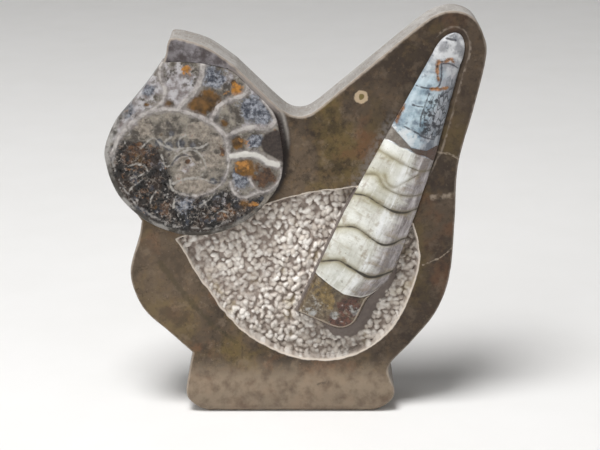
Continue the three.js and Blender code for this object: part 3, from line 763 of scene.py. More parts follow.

# %% [markdown]
# ## The orthoceras
# This shell is a straight cone of chambers. At its wide end the room the animal lived in was cut flat and
# shows red and olive mud turned to stone. Above it the white shell swells between dark lines, the
# sutures, where each wall inside meets the shell. The tip is bluish calcite. A grid along and across the
# axis suits such a long body, and the sutures, drawn as lines, press shallow grooves into it.

# %% Lines on the orthoceras, drawn as s and u
sutures = [
    [(20.1, -9.8), (23.6, -4.6), (23.6, -0.6), (23, 4.2), (22.9, 8.1), (24.4, 11.2), (27.2, 14.6),
     (28, 15.6)],
    [(33.9, -9.6), (36.7, -5.1), (37, -1.4), (35.8, 3.7), (35.5, 7.7), (37, 10.7), (39.6, 13.1), (40.6, 15)],
    [(47.4, -8.9), (48.9, -4.7), (48.3, 0.2), (47.9, 5.7), (48.9, 9.8), (51, 12.6), (51.8, 13.8)],
    [(55.4, -8.4), (57.1, -4.6), (54.6, -0.4), (54.3, 5), (55.5, 9.8), (57.5, 13.2)],
    [(65.2, -8), (65.1, -3.8), (64.7, 2.4), (64.6, 7.8), (65.4, 10.5), (66.4, 12)],
    [(58.4, -2.2), (56.3, -0.1), (56, 2.7), (59.6, 5.6), (63.2, 8.4)],
]
suture_strength = [1.0, 0.8, 0.85, 0.5, 0.4, 0.35]
shell_low = np.array([(-10, 15.9), (-3.3, 14.5), (2.5, 13.5), (8.8, 14.6), (11.4, 16.4), (16, 22)])
tip_low = np.array([(-8, 75.2), (-6.6, 74.6), (-1.9, 72.6), (2.1, 70.9), (7.5, 72), (9.9, 74.9), (12, 76)])
SHELL_TOP = 69.8
rust_cracks = [
    [(102.4, -2), (99.6, -1.5), (97.4, -0.2), (96.2, 0.6)],
    [(102, -1.6), (103.1, 0.2), (104.4, 1.4), (103.9, 2.7)],
    [(92.6, -0.4), (93.6, 2.2), (95, 4.6)],
    [(76.8, -6.7), (80, -6.4), (83.5, -6.2)],
]
dark_cracks = [
    [(101.8, -0.6), (102.9, 1.9), (102.6, 5.1)],
    [(101.7, -0.8), (99, 0.5), (96.8, 1.4), (94.9, 1.7), (93.4, 1.2)],
    [(76.7, -3.5), (76.6, 0.8), (76.2, 3.3), (76.3, 5.9), (76.8, 8.1)],
    [(84.7, -3.8), (85.5, -0.4)],
    [(91.2, -5.3), (92, -1.9), (92.8, 0.7)],
    [(110.2, -3), (111, 0.3)],
    [(90.7, -0.3), (85.7, 0.2), (81.8, 0.7), (79.2, 1.6)],
]
chamber_mud = {
    "red": [(None, 9.2, 5.2, 4.2, 1.0), (None, 9.0, 9.0, 4.0, 0.9), (None, 3.4, 7.4, 4.2, 1.0),
            (None, 1.6, 3.4, 3.0, 1.0), (None, 12.6, 6.6, 3.0, 0.8), (None, 1.4, -2.4, 1.8, 0.6)],
    "gold": [(None, 10.4, -3.4, 4.2, 1.0), (None, 8.2, 0.0, 2.8, 0.9), (None, 12.6, -6.8, 2.6, 0.6)],
    "pale": [(None, 4.9, 3.1, 2.2, 0.7), (None, 6.4, -5.6, 2.8, 0.55), (None, 10.8, 1.9, 2.0, 0.5),
             (None, 2.8, -5.0, 3.6, 0.5), (None, 8.6, 8.3, 2.8, 0.5), (None, 3.0, 5.8, 1.8, 0.45)],
}
crackle_patch = np.array([(88.8, 0.3), (93.8, 4.7), (97.1, 7), (90, 8.1), (83.3, 9), (77.4, 9.7),
                          (76.6, 3.2), (83, 0.8)])
print(len(sutures), "sutures and", len(rust_cracks) + len(dark_cracks), "cracks")

# %% Shaping the orthoceras
EDGE_PROUD, CHAMBER_RISE, SHELL_RISE = 0.4, 1.5, 3.6
brim_line = closed(np.column_stack(on_axis(footprint)))
tip_rise = np.array([(SHELL_TOP, 2.5), (80, 2.2), (92, 1.8), (104, 1.2), (109, 1.0), (SHELL_LENGTH, 0.3)])


def suture_grooves(places):
    """The distance to the nearest suture, thicker on the right, and how deep the sutures press in."""
    groove, press = np.full(len(places), FAR), np.zeros(len(places))
    for line, strength in zip(sutures, suture_strength):
        away = distance_to(places, spline(line))
        thick = 0.25 * strength * np.exp(-(((places[:, 1] - 8) / 4) ** 2))
        groove = np.minimum(groove, away + 0.5 * (1 - strength) - thick)
        press = np.maximum(press, strength * np.exp(-((away / 0.75) ** 2)))
    return groove, press


def orthoceras_relief(s, u):
    """The height above the face and the fields for the finish, at places along and across the axis."""
    places = np.column_stack([s, u])
    left, right = shell_sides(s)
    t = np.clip((2 * u - left - right) / np.maximum(right - left, 1e-6), -1, 1)
    groove, press = suture_grooves(places)
    crown = SHELL_RISE * (1 - 0.28 * np.clip((s - 14) / 57, 0, 1))
    crown = np.where(s > SHELL_TOP, np.interp(s, tip_rise[:, 0], tip_rise[:, 1]), crown)
    arch = (1 - np.abs(t) ** (2.4 + 1.2 * ease(68, 80, s))) ** 0.8
    swell = 0.12 * np.sin((s - 2.4 * t**3) * 0.49) * ease(18, 24, s) * ease(70, 62, s)
    shell = EDGE_PROUD + (crown + swell) * arch - 0.5 * press * (0.25 + 0.75 * arch)
    brink = distance_to(places, brim_line)
    chamber = EDGE_PROUD * ease(-0.2, 0.4, brink) + CHAMBER_RISE * ease(0.0, 1.3, brink) ** 0.8
    over = s - np.interp(u, shell_low[:, 0], shell_low[:, 1])
    tip_start = np.interp(u, tip_low[:, 0], tip_low[:, 1])
    wedge = ease(-0.2, 0.25, s - SHELL_TOP - 0.25 * np.sin(u)) * ease(0.25, -0.2, s - tip_start)
    rust, crack = nearest_line(places, rust_cracks), nearest_line(places, dark_cracks)
    height = shell + (chamber - shell) * ease(0.22, -0.22, over) - 0.7 * wedge * arch
    height = height - 0.15 * np.exp(-((rust / 0.4) ** 2)) - 0.12 * np.exp(-((crack / 0.35) ** 2))
    return height, {
        "along": s, "across": t, "suture": groove, "brink": brink, "over": over, "wedge": wedge,
        "rust": rust, "crack": crack, "crackle": ease(-1.2, 0.8, how_far_in(places, crackle_patch)),
    } | {name: mineral_share(places, patches) for name, patches in chamber_mud.items()}


s_rows = np.unique(np.round(np.r_[
    np.linspace(0, 0.5, 6), np.arange(0.5, TIP_ROUND, 0.36),
    np.arange(12.8, 18, 0.16), np.arange(69, 76, 0.24),
    TIP_ROUND + (SHELL_LENGTH - TIP_ROUND - 0.02) * np.sin(np.linspace(0, np.pi / 2, 30)),
], 3))
t_columns = np.sin(np.linspace(-np.pi / 2, np.pi / 2, 71))
grid_s = np.repeat(s_rows, len(t_columns))
left, right = shell_sides(grid_s)
grid_u = left + (right - left) * (np.tile(t_columns, len(s_rows)) + 1) / 2
cone_height, cone_fields = orthoceras_relief(grid_s, grid_u)
highest = cone_height.max().round(2)
print("orthoceras:", len(s_rows), "rows by", len(t_columns), "columns, highest", highest, "mm")

# %% Closing the orthoceras
SHELL, CHAMBER, TIP = range(3)
wide, long = len(t_columns), len(s_rows)
grid = np.arange(wide * long).reshape(long, wide).tolist()


def between(one, other):
    """Four-sided faces between two open rows of points."""
    return [(one[k], one[k + 1], other[k + 1], other[k]) for k in range(len(one) - 1)]


cone_faces = [face for one, other in zip(grid, grid[1:]) for face in between(one, other)]
right_column, left_column = [row[-1] for row in grid], [row[0] for row in grid]
brim = grid[0] + right_column[1:] + grid[-1][-2::-1] + left_column[-2:0:-1]
brim_depths = (0.5, 1.4, SHELL_DEPTH)
brim_faces, low_row = skirt(brim, wide * long, len(brim_depths))
low_place = dict(zip(brim, low_row))
under_faces = between([low_place[k] for k in left_column], [low_place[k] for k in right_column])
cone_faces += brim_faces + under_faces

cone_drawn = off_axis(grid_s, grid_u)
brim_points = [to_space(cone_drawn[brim], np.full(len(brim), depth)) for depth in brim_depths]
cone_points = np.vstack([to_space(cone_drawn, -cone_height)] + brim_points)
cone_fields = {
    name: np.concatenate([values] + [values[brim]] * len(brim_depths)) for name, values in cone_fields.items()
}
over, along = (
    np.array([cone_fields[name][list(f)].mean() for f in cone_faces]) for name in ("over", "along")
)
cone_slots = list(np.where(over < 0, CHAMBER, np.where(along > SHELL_TOP, TIP, SHELL)))
orthoceras = make_piece("orthoceras_shell", cone_points, cone_faces, cone_slots, cone_fields, FOSSIL_SHARP)

# %% [markdown]
# ## Node helpers for the finishes
# A finish in Blender is a net of nodes: noise and distances go in, and a colour, a roughness and a small
# bump come out. Writing such a net in code is clearer with a few short words for the usual steps. All of
# them add to the net that is open at the time, which is always called tree. Colours are given as the
# values from 0 to 255 that a colour picker shows, and turned into the linear values that Blender works
# with.

# %% Short words for nodes
def linear(colour):
    """Three values from 0 to 255 as a linear colour; a socket stays as it is."""
    if not isinstance(colour, tuple):
        return colour
    shares = [c / 255 for c in colour]
    return (*[c / 12.92 if c <= 0.04045 else ((c + 0.055) / 1.055) ** 2.4 for c in shares], 1.0)


def put(kind, inputs=(), **settings):
    """A new node; an input is fed by a socket or set to a plain value."""
    node = tree.nodes.new(kind)
    for name, value in settings.items():
        setattr(node, name, value)
    for name, value in dict(inputs).items():
        if isinstance(value, bpy.types.NodeSocket):
            tree.links.new(value, node.inputs[name])
        else:
            node.inputs[name].default_value = value
    return node


def calc(step, *values, clamp=False):
    return put("ShaderNodeMath", dict(enumerate(values)), operation=step, use_clamp=clamp).outputs[0]


def plus(a, b):
    return calc("ADD", a, b)


def both(a, b):
    return calc("MULTIPLY", a, b)


def either(a, b):
    return calc("MAXIMUM", a, b)


def apart(a, b):
    """How far two values are from each other."""
    return calc("ABSOLUTE", calc("SUBTRACT", a, b))


def sway(value, reach):
    """A noise from 0 to 1 turned into a swing to both sides of zero."""
    return both(calc("SUBTRACT", value, 0.5), reach)


def fade(value, low, high):
    """0 at low, 1 at high, smooth between; low may be the larger one."""
    inputs = {"Value": value, "From Min": low, "From Max": high}
    return put("ShaderNodeMapRange", inputs, interpolation_type="SMOOTHSTEP").outputs[0]


def spread(value, low, high):
    """A value from 0 to 1 spread evenly from low to high."""
    return put("ShaderNodeMapRange", {"Value": value, "To Min": low, "To Max": high}).outputs[0]


print("white as a linear colour:", [round(c, 2) for c in linear((255, 255, 255))])


# %% Words for places, noise and coats of colour
def vector(step, a, b):
    """Vector arithmetic; a distance or a dot product gives a number, the rest a vector."""
    second = "Scale" if step == "SCALE" else 1
    node = put("ShaderNodeVectorMath", {0: a, second: b}, operation=step)
    return node.outputs["Value" if step in ("DISTANCE", "DOT_PRODUCT") else "Vector"]


def here():
    return put("ShaderNodeTexCoord").outputs["Object"]


def face_mm():
    """The place on the face in millimetres: to the right, and up."""
    spot = put("ShaderNodeSeparateXYZ", {0: here()}).outputs
    return both(spot["X"], 1000.0), both(spot["Z"], 1000.0)


def field(name):
    return put("ShaderNodeAttribute", attribute_name=name).outputs["Fac"]


def noise(size, detail=3.0, seed=0.0, rough=0.5, at=None):
    """A noise from 0 to 1 with lumps of about the given size in millimetres."""
    inputs = {"W": seed, "Scale": 1000.0 / size, "Detail": detail, "Roughness": rough}
    inputs["Vector"] = here() if at is None else at
    return put("ShaderNodeTexNoise", inputs, noise_dimensions="4D").outputs[0]


def paint(under, over, mask, strength=1.0):
    """One colour over another where the mask is 1; a strength below 1 makes it a thin coat."""
    mask = mask if strength == 1.0 else both(mask, strength)
    return put("ShaderNodeMix", {0: mask, 6: linear(under), 7: linear(over)}, data_type="RGBA").outputs[2]


def coats(colour, *layers):
    """Coats one over the other, each with its colour, its mask and, for a thin coat, its strength."""
    for layer in layers:
        colour = paint(colour, *layer)
    return colour


print("black as a linear colour:", linear((0, 0, 0)))

# %% [markdown]
# ## Effects that come back
# Three effects come back in more than one finish, so each is built once as a node group: the cloudy colour
# of stone, a line that wavers as if drawn by nature, and a crust of crystals. A fourth group draws a
# straight mark between two places on the face, which the polished stone needs many times. Each finish
# places a group with its own values.

# %% Group: cloudy stone
def new_group(name, **inputs):
    """A node group that is open for nodes, and the sockets of its inputs."""
    group = bpy.data.node_groups.new(name, "ShaderNodeTree")
    for socket, value in inputs.items():
        kind = "NodeSocketVector" if isinstance(value, tuple) else "NodeSocketFloat"
        title = socket.replace("_", " ")
        group.interface.new_socket(title, in_out="INPUT", socket_type=kind).default_value = value
    return group, group.nodes.new("NodeGroupInput").outputs


def close_group(**results):
    for name in results:
        tree.interface.new_socket(name, in_out="OUTPUT", socket_type="NodeSocketFloat")
    put("NodeGroupOutput", results)
    print("group", tree.name, "has", len(tree.nodes), "nodes")
    return tree


tree, given = new_group("cloudy stone", Patch_scale=40.0, Seed=0.0)
place = here()


def stone_noise(scale, detail, offset, rough=0.55):
    inputs = {"Vector": place, "W": plus(given["Seed"], offset), "Scale": scale}
    inputs |= {"Detail": detail, "Roughness": rough}
    return put("ShaderNodeTexNoise", inputs, noise_dimensions="4D").outputs[0]


stone_group = close_group(
    Patches=fade(stone_noise(given["Patch scale"], 4.0, 0.0), 0.36, 0.64),
    Mottle=fade(stone_noise(both(given["Patch scale"], 6.0), 5.0, 3.1, 0.65), 0.32, 0.68),
    Grain=stone_noise(2600.0, 3.0, 5.2, 0.7),
    Specks=fade(stone_noise(900.0, 2.0, 7.7), 0.66, 0.72),
)

# %% Group: wavering line
tree, given = new_group(
    "wavering line", Distance=0.0, Half_width=0.4, Softness=0.2, Waver=0.3, Waver_scale=700.0
)
half, soft = given["Half width"], given["Softness"]
ripple = {"Vector": here(), "Scale": given["Waver scale"], "Detail": 3.0}
ripple = put("ShaderNodeTexNoise", ripple).outputs[0]
moved = plus(given["Distance"], sway(ripple, both(given["Waver"], 2.0)))
line_group = close_group(Mask=fade(moved, plus(half, soft), calc("SUBTRACT", half, soft)))

# %% Group: crystal crust
tree, given = new_group("crystal crust", Place=(0.0, 0.0, 0.0), Crystal_scale=700.0, Seed=0.0)
bend = put("ShaderNodeTexNoise", {"Vector": given["Place"], "Scale": 420.0, "Detail": 2.0}).outputs["Color"]
place = vector("ADD", given["Place"], vector("SCALE", bend, 0.0018))
place = vector("ADD", place, put("ShaderNodeCombineXYZ", {k: given["Seed"] for k in range(3)}).outputs[0])
lattice = {"Vector": place, "Scale": given["Crystal scale"]}
cells = put("ShaderNodeTexVoronoi", lattice).outputs
borders = put("ShaderNodeTexVoronoi", lattice, feature="DISTANCE_TO_EDGE").outputs["Distance"]
tint = put("ShaderNodeSeparateColor", {0: cells["Color"]}).outputs
facet_slope = both(cells["Distance"], calc("SUBTRACT", tint[1], 0.3))
crystal_group = close_group(
    Facets=tint[0],
    Seams=fade(borders, 0.09, 0.02),
    Glints=fade(tint[2], 0.86, 0.93),
    Height=plus(facet_slope, both(tint[0], 0.6)),
)

# %% Group: straight mark on the face
tree, given = new_group(
    "straight mark", Start=(0.0, 0.0, 0.0), End=(0.0, 0.0, 0.0), Half_width=0.3, Waver=0.3
)
place = vector("MULTIPLY", here(), (1000.0, 0.0, 1000.0))
run = vector("SUBTRACT", given["End"], given["Start"])
reach = vector("SUBTRACT", place, given["Start"])
share = calc("DIVIDE", vector("DOT_PRODUCT", reach, run), vector("DOT_PRODUCT", run, run), clamp=True)
away = vector("DISTANCE", reach, vector("SCALE", run, share))
ripple = put("ShaderNodeTexNoise", {"Vector": place, "Scale": 0.7, "Detail": 3.0}).outputs[0]
away = calc("ABSOLUTE", plus(away, sway(ripple, both(given["Waver"], 3.0))))
mark_group = close_group(Mask=fade(away, both(given["Half width"], 1.5), both(given["Half width"], 0.5)))


# %% Placing a group and starting a finish
def place_group(group, **inputs):
    named = {name.replace("_", " ").capitalize(): value for name, value in inputs.items()}
    return put("ShaderNodeGroup", named, node_tree=group).outputs


def drawn(distance, half_width, softness, waver, waver_scale):
    """A wavering line where a distance is small; the distance is a socket or the name of a field."""
    return place_group(
        line_group, distance=field(distance) if isinstance(distance, str) else distance,
        half_width=half_width, softness=softness, waver=waver, waver_scale=waver_scale,
    )["Mask"]


def new_finish(name, **plain):
    """A material with a Principled shader whose uniform values are set on its own sockets."""
    finish = bpy.data.materials.new(name)
    finish.use_nodes = True
    for socket, value in plain.items():
        finish.node_tree.nodes["Principled BSDF"].inputs[socket.replace("_", " ")].default_value = value
    return finish, finish.node_tree


def finish_with(finish, colour, roughness, height, strength, distance):
    """Feeds the shader: colour, roughness, and a bump of so many millimetres."""
    bump = put("ShaderNodeBump", {"Height": height, "Strength": strength, "Distance": distance * MM})
    shader = tree.nodes["Principled BSDF"].inputs
    for value, name in ((colour, "Base Color"), (roughness, "Roughness"), (bump.outputs[0], "Normal")):
        tree.links.new(value, shader[name])
    print(finish.name, "has", len(tree.nodes), "nodes")


print("groups to place:", [group.name for group in (stone_group, line_group, crystal_group, mark_group)])

# %% [markdown]
# ## Finish: polished limestone
# The face is brown limestone with olive and rusty clouds, polished to a soft sheen. The rim of the hollow
# has worn pale, and so have the edges, whose pale line is also a painted highlight. A few pale veins
# cross it, and near the top lies a small ring, perhaps a slice of a sea lily's stem. The ground round the
# ammonite is nearly black, with a painted highlight on the bevel at its right, and the foot is painted
# lighter where it flares up into the light. Each of these could be a finish of its own, but all of it is
# one stone, so it is one finish with masks.

# %% Clouds in the brown stone
polished, tree = new_finish("polished limestone", IOR=1.5, Specular_IOR_Level=0.2)
stone = place_group(stone_group, patch_scale=38.0, seed=1.0)
hue = place_group(stone_group, patch_scale=62.0, seed=4.0)
right_mm, up_mm = face_mm()
colour = paint((62, 53, 45), (98, 84, 69), stone["Patches"])
for size, seed, low, high, shade, strength in (
    (26, 9.0, 0.48, 0.6, (112, 95, 56), 0.72),
    (19, 12.0, 0.52, 0.62, (116, 81, 57), 0.72),
    (9, 15.0, 0.5, 0.62, (42, 35, 30), 0.65),
    (5, 18.0, 0.52, 0.66, (128, 112, 94), 0.5),
    (2.4, 21.0, 0.5, 0.64, (116, 93, 66), 0.35),
    (1.5, 23.0, 0.52, 0.64, (40, 34, 29), 0.4),
):
    colour = paint(colour, shade, fade(noise(size, 6, seed, 0.6), low, high), strength)
hairline = apart(noise(22, 6, 5.0, 0.6), 0.5)
# The foot is painted lighter: painted light where its flare faces up towards the lamp, with some mottling.
lit_foot_tone = paint((112, 97, 83), (145, 130, 112), fade(noise(4, 5, 20.0, 0.6), 0.3, 0.6))
colour = coats(
    colour,
    # This coat makes the face lighter towards the left; the coat of (58, 49, 43) below makes it darker
    # towards the right.
    ((110, 95, 79), fade(right_mm, -20.0, -45.0), 0.4),
    ((132, 117, 100), hue["Specks"], 0.4),
    ((40, 34, 30), stone["Specks"], 0.5),
    ((48, 42, 34), fade(hairline, 0.006, 0.001), 0.4),
    ((58, 49, 43), fade(right_mm, 0.0, 50.0), 0.5),
    (lit_foot_tone, fade(up_mm, 22.0, 10.0), 0.8),
)
print("clouds, specks and hairlines take", len(tree.nodes), "nodes")

# %% Dark ground round the ammonite
peak_tone = paint((86, 80, 81), (146, 142, 145), fade(noise(4, 6, 24.0, 0.65), 0.38, 0.62))
brow = both(fade(up_mm, 106.0, 113.0), fade(up_mm, 127.0, 122.0))
brow = both(brow, fade(field("edge"), 2.8, 1.2))
ground_tone = coats(
    (32, 26, 24),
    (peak_tone, fade(up_mm, 122.0, 127.0)),
    ((56, 47, 44), stone["Mottle"], 0.5),
    ((132, 126, 122), hue["Specks"], 0.5),
    ((150, 141, 136), brow, 0.75),
)
tooled = both(field("tooled"), fade(noise(1.6, 5, 2.0), 0.35, 0.6))
colour = coats(
    colour,
    (ground_tone, field("ground")),
    # A painted highlight on the bevel at the right of the raised ground.
    ((190, 184, 178), field("bevel_highlight"), 0.9),
    ((128, 122, 118), tooled, 0.7),
)
print("with the dark ground and the tool marks", len(tree.nodes), "nodes")

# %% Veins, scratches and the sea lily ring
veins = [((50.9, 94.7), (55.8, 94.0), 0.35), ((55.8, 94.0), (59.4, 91.9), 0.3),
         ((47, 53.9), (53, 56.5), 0.28), ((53, 56.5), (57.5, 60.2), 0.24),
         ((50.0, 78.4), (57.6, 79.2), 0.9)]
scratches = [((9.9, 10.4), (13.5, 11.1), 0.4), ((-17.4, 19.4), (-17.2, 23.2), 0.28)]
clefts = [((-46, 54.5), (-37, 42), 1.1), ((-37, 42), (-27, 31), 0.9), ((-27, 31), (-19, 25), 0.6)]
LILY_PLACE = (24.6, 0.0, 114.1)


def marks(places, waver):
    """The mask of several straight marks, each given by its two ends and half its width."""
    found = 0.0
    for start, end, half in places:
        ends = {"start": (start[0], 0, start[1]), "end": (end[0], 0, end[1])}
        found = either(found, place_group(mark_group, half_width=half, waver=waver, **ends)["Mask"])
    return found


broken = fade(noise(2.4, 5, 6.0), 0.34, 0.56)
spot = put("ShaderNodeCombineXYZ", {0: right_mm, 2: up_mm}).outputs[0]
lily = plus(vector("DISTANCE", spot, LILY_PLACE), sway(noise(1.5, 3, 8.0), 1.6))
colour = coats(
    colour,
    ((66, 60, 44), marks(clefts, 1.2), 0.45),
    ((150, 137, 122), both(marks(veins, 0.5), broken), 0.75),
    ((60, 53, 47), both(marks(scratches, 0.3), broken), 0.5),
    ((178, 158, 132), fade(lily, 2.6, 2.0)),
    ((112, 98, 62), fade(lily, 1.15, 0.7)),
)
print(len(veins), "runs of vein,", len(scratches), "scratches,", len(clefts), "runs of cleft and one ring")

# %% Worn edges with a painted highlight, and the polish
edge = drawn("edge", 0.45, 0.4, 0.5, 500.0)
rim = drawn(calc("ABSOLUTE", field("rim")), 0.28, 0.2, 0.25, 600.0)
colour = coats(
    colour,
    # The pale line along the edges is partly wear and partly a painted highlight.
    ((164, 153, 141), edge, 0.75),
    ((212, 202, 190), rim, 0.9),
    ((150, 138, 126), drawn("ridge", 0.3, 0.25, 0.3, 400.0), 0.55),
)
wear = either(either(edge, rim), tooled)
roughness = spread(either(both(stone["Mottle"], 0.35), wear), 0.36, 0.75)
relief = plus(both(stone["Grain"], 0.5), both(noise(6, 4, 3.0), 0.8))
finish_with(polished, colour, roughness, relief, 0.25, 0.12)

# %% [markdown]
# ## Finish: pecked limestone
# Bruised stone is pale, because each blow leaves a powder of tiny cracks. The tops of the lumps are painted
# palest, partly for that powder and partly as a painted highlight, and the creases keep a darker brown,
# partly dust and partly painted shade. Towards the right and the bottom the floor is painted in shade.
# The smooth ledge beside the orthoceras was scraped, not pecked, so it stays grey-brown. The mesh already
# carries the lumps, so the finish only needs their height.

# %% Pecked limestone
pecked, tree = new_finish("pecked limestone", IOR=1.45)
stone = place_group(stone_group, patch_scale=90.0, seed=2.0)
right_mm, up_mm = face_mm()
top = fade(plus(field("lump"), sway(noise(1.1, 5, 1.0, 0.6), 0.9)), 0.05, 0.85)
in_shade = either(fade(right_mm, 10.0, 36.0), fade(up_mm, 42.0, 26.0))
colour = coats(
    paint((130, 116, 107), (168, 156, 147), stone["Mottle"]),
    # Lump tops painted pale, partly the powder of the blows and partly a painted highlight; the creases keep
    # the darker colour, partly dust and partly painted shade.
    (paint((208, 198, 187), (250, 246, 240), field("shade")), top),
    ((150, 138, 128), fade(stone["Patches"], 0.4, 1.0), 0.3),
    ((168, 152, 112), fade(noise(7, 3, 5.0), 0.58, 0.7), 0.4),
    ((128, 119, 109), in_shade, 0.35),
    (paint((92, 83, 79), (128, 118, 112), noise(1.3, 4, 3.0)), field("ledge")),
    ((214, 202, 188), drawn("rim", 0.25, 0.2, 0.25, 500.0), 0.8),
)
relief = plus(both(stone["Grain"], 0.6), noise(0.8, 4, 9.0))
finish_with(pecked, colour, spread(stone["Mottle"], 0.7, 0.95), relief, 0.45, 0.25)

# %% [markdown]
# ## Finish: sanded sides and sawn back
# Sanding leaves the sides pale grey and matt, with fine scratches that run from front to back. The back
# was only sawn: it is browner, and the blade left rows of shallow arcs. Both use the cloudy stone group
# with other values.

# %% Sanded sides
sanded, tree = new_finish("sanded limestone", IOR=1.45)
stone = place_group(stone_group, patch_scale=70.0, seed=3.0)
hairs = noise(0.5, 3, 4.0, 0.6, vector("MULTIPLY", here(), (1.0, 0.12, 1.0)))
_, up_mm = face_mm()
colour = coats(
    paint((148, 143, 138), (172, 168, 164), stone["Patches"]),
    ((134, 124, 113), fade(stone["Mottle"], 0.5, 1.0), 0.5),
    ((190, 187, 183), fade(hairs, 0.52, 0.68), 0.5),
    # Paler towards the front edge: partly wear and partly a painted highlight on the eased edge.
    ((196, 186, 174), drawn("edge", 0.6, 0.5, 0.6, 300.0), 0.6),
    ((124, 111, 98), fade(up_mm, 22.0, 4.0), 0.8),
)
finish_with(sanded, colour, spread(stone["Mottle"], 0.55, 0.8), plus(hairs, stone["Grain"]), 0.3, 0.1)

# %% Sawn back
sawn, tree = new_finish("sawn limestone", IOR=1.45)
stone = place_group(stone_group, patch_scale=34.0, seed=6.0)
from_blade = vector("DISTANCE", here(), (-0.35, 0.0, 0.02))
kerf = {"W": both(from_blade, 900.0), "Scale": 1.0, "Detail": 2.0}
kerf = put("ShaderNodeTexNoise", kerf, noise_dimensions="1D").outputs[0]
colour = coats(
    paint((106, 98, 89), (140, 132, 122), stone["Patches"]),
    ((88, 78, 68), stone["Mottle"], 0.55),
    ((112, 90, 70), fade(noise(14, 6, 3.0, 0.6), 0.5, 0.64), 0.4),
    ((156, 150, 142), fade(kerf, 0.55, 0.75), 0.1),
    ((56, 48, 42), stone["Specks"], 0.5),
)
relief = plus(kerf, both(stone["Grain"], 0.5))
finish_with(sawn, colour, spread(stone["Mottle"], 0.6, 0.85), relief, 0.35, 0.2)
for finish in (polished, pecked, sanded, sawn):
    slab.data.materials.append(finish)
print(slab.name, "takes", [m.name for m in slab.data.materials])

# %% [markdown]
# ## Finish: the ammonite's calcite
# The ground colour is a grey-brown mud stone inside the spiral and a dark crystal crust below. The
# minerals are mixed in by their patches, each with its own grain, then come the fine threads, a few dark
# clefts and the white walls, and last the pale rim of shell. The crystals get lighter facets and a few
# glints, which is what makes the real crust sparkle.

# %% Mud stone and crystal crust
calcite, tree = new_finish("ammonite calcite", IOR=1.55, Specular_IOR_Level=0.35)
stone = place_group(stone_group, patch_scale=150.0, seed=8.0)
crystals = place_group(crystal_group, place=here(), crystal_scale=560.0, seed=0.3)
fine = place_group(crystal_group, place=here(), crystal_scale=1300.0, seed=0.7)
speckle = noise(2.8, 5, 2.0, 0.58)
dust = noise(1.3, 5, 3.0, 0.6)
colour = coats(
    paint((70, 64, 58), (142, 135, 124), fade(speckle, 0.36, 0.64)),
    ((60, 58, 60), fade(noise(2.8, 6, 6.0, 0.7), 0.54, 0.66), 0.75),
    ((164, 160, 152), fade(noise(1.8, 5, 4.0, 0.65), 0.56, 0.7), 0.55),
)
glint_tone = paint((166, 162, 158), (122, 88, 60), fade(noise(6, 3, 16.0), 0.46, 0.58))
crust_tone = coats(
    paint((12, 10, 9), (50, 45, 42), both(crystals["Facets"], fine["Facets"])),
    ((56, 42, 33), fade(noise(5, 3, 12.0), 0.5, 0.62), 0.5),
    ((74, 78, 88), fade(noise(4, 3, 14.0), 0.56, 0.66), 0.5),
    (glint_tone, both(fine["Glints"], fade(dust, 0.42, 0.55)), 0.65),
)
print("mud stone and crust take", len(tree.nodes), "nodes")


# %% Minerals in the rooms of the ammonite
def mineral(name, dark, light, texture, ragged=2.4):
    """The coat of one mineral; ragged says how far noise breaks up the border of its patches."""
    share = plus(plus(field(name), sway(speckle, ragged)), sway(dust, 0.8))
    return paint(dark, light, texture), fade(share, 0.3, 0.7)


grit = fade(dust, 0.3, 0.7)
veil = fade(noise(2.2, 4, 7.0, 0.5), 0.34, 0.62)
pool = fade(noise(3.4, 4, 15.0, 0.55), 0.34, 0.68)
splinters = plus(both(fine["Facets"], 0.25), both(fade(dust, 0.4, 0.66), 0.75))
colour = coats(
    colour,
    mineral("sand", (100, 92, 83), (160, 150, 138), grit),
    mineral("slate", (48, 49, 54), (106, 105, 107), grit, 1.3),
    mineral("milk", (112, 103, 101), (180, 177, 179), veil),
    (crust_tone, fade(plus(field("crust"), sway(speckle, 2.0)), 0.3, 0.62)),
    mineral("rust", (42, 32, 27), (106, 75, 50), fade(dust, 0.3, 0.8)),
    mineral("smoke", (34, 39, 52), (158, 161, 169), splinters, 1.8),
    mineral("amber", (44, 33, 19), (112, 79, 36), pool, 1.1),
    mineral("honey", (116, 78, 34), (178, 124, 58), grit, 2.2),
)
print("with the minerals", len(tree.nodes), "nodes")

# %% Walls, threads and the rim of the ammonite
crust, free = field("crust"), field("free")
colour = coats(
    colour,
    (paint((42, 35, 32), (64, 54, 49), stone["Mottle"]), field("ground")),
    ((158, 154, 148), both(drawn("thread", 0.05, 0.3, 0.8, 520.0), fade(dust, 0.32, 0.5))),
    ((50, 49, 54), drawn("cleft", 0.28, 0.25, 0.5, 520.0), 0.8),
)
# Pale curved strokes in the crust: partly pale crystal and partly painted glints.
for size, seed, strength in ((3.0, 21.0, 0.42), (1.9, 26.0, 0.22)):
    glint_strokes = fade(apart(noise(size, 4, seed), 0.5), 0.028, 0.006)
    colour = paint(colour, (166, 156, 146), both(glint_strokes, both(crust, fade(speckle, 0.44, 0.56))), strength)
halo = both(drawn("wall", 0.7, 0.7, 1.4, 420.0), fade(dust, 0.3, 0.62))
wall_tone = paint((128, 122, 119), (186, 180, 176), fade(plus(speckle, both(dust, 0.5)), 0.55, 0.9))
outer_rim = both(drawn("rim", 1.9, 0.6, 1.6, 220.0), free)
rim_tone = paint((54, 49, 42), (150, 147, 143), fade(noise(7, 6, 30.0, 0.65), 0.42, 0.58))
inner_rim = plus(field("rim"), sway(noise(5, 5, 34.0, 0.6), 4.0))
inner_rim = both(both(fade(apart(inner_rim, 3.1), 0.6, 0.1), free), fade(speckle, 0.4, 0.52))
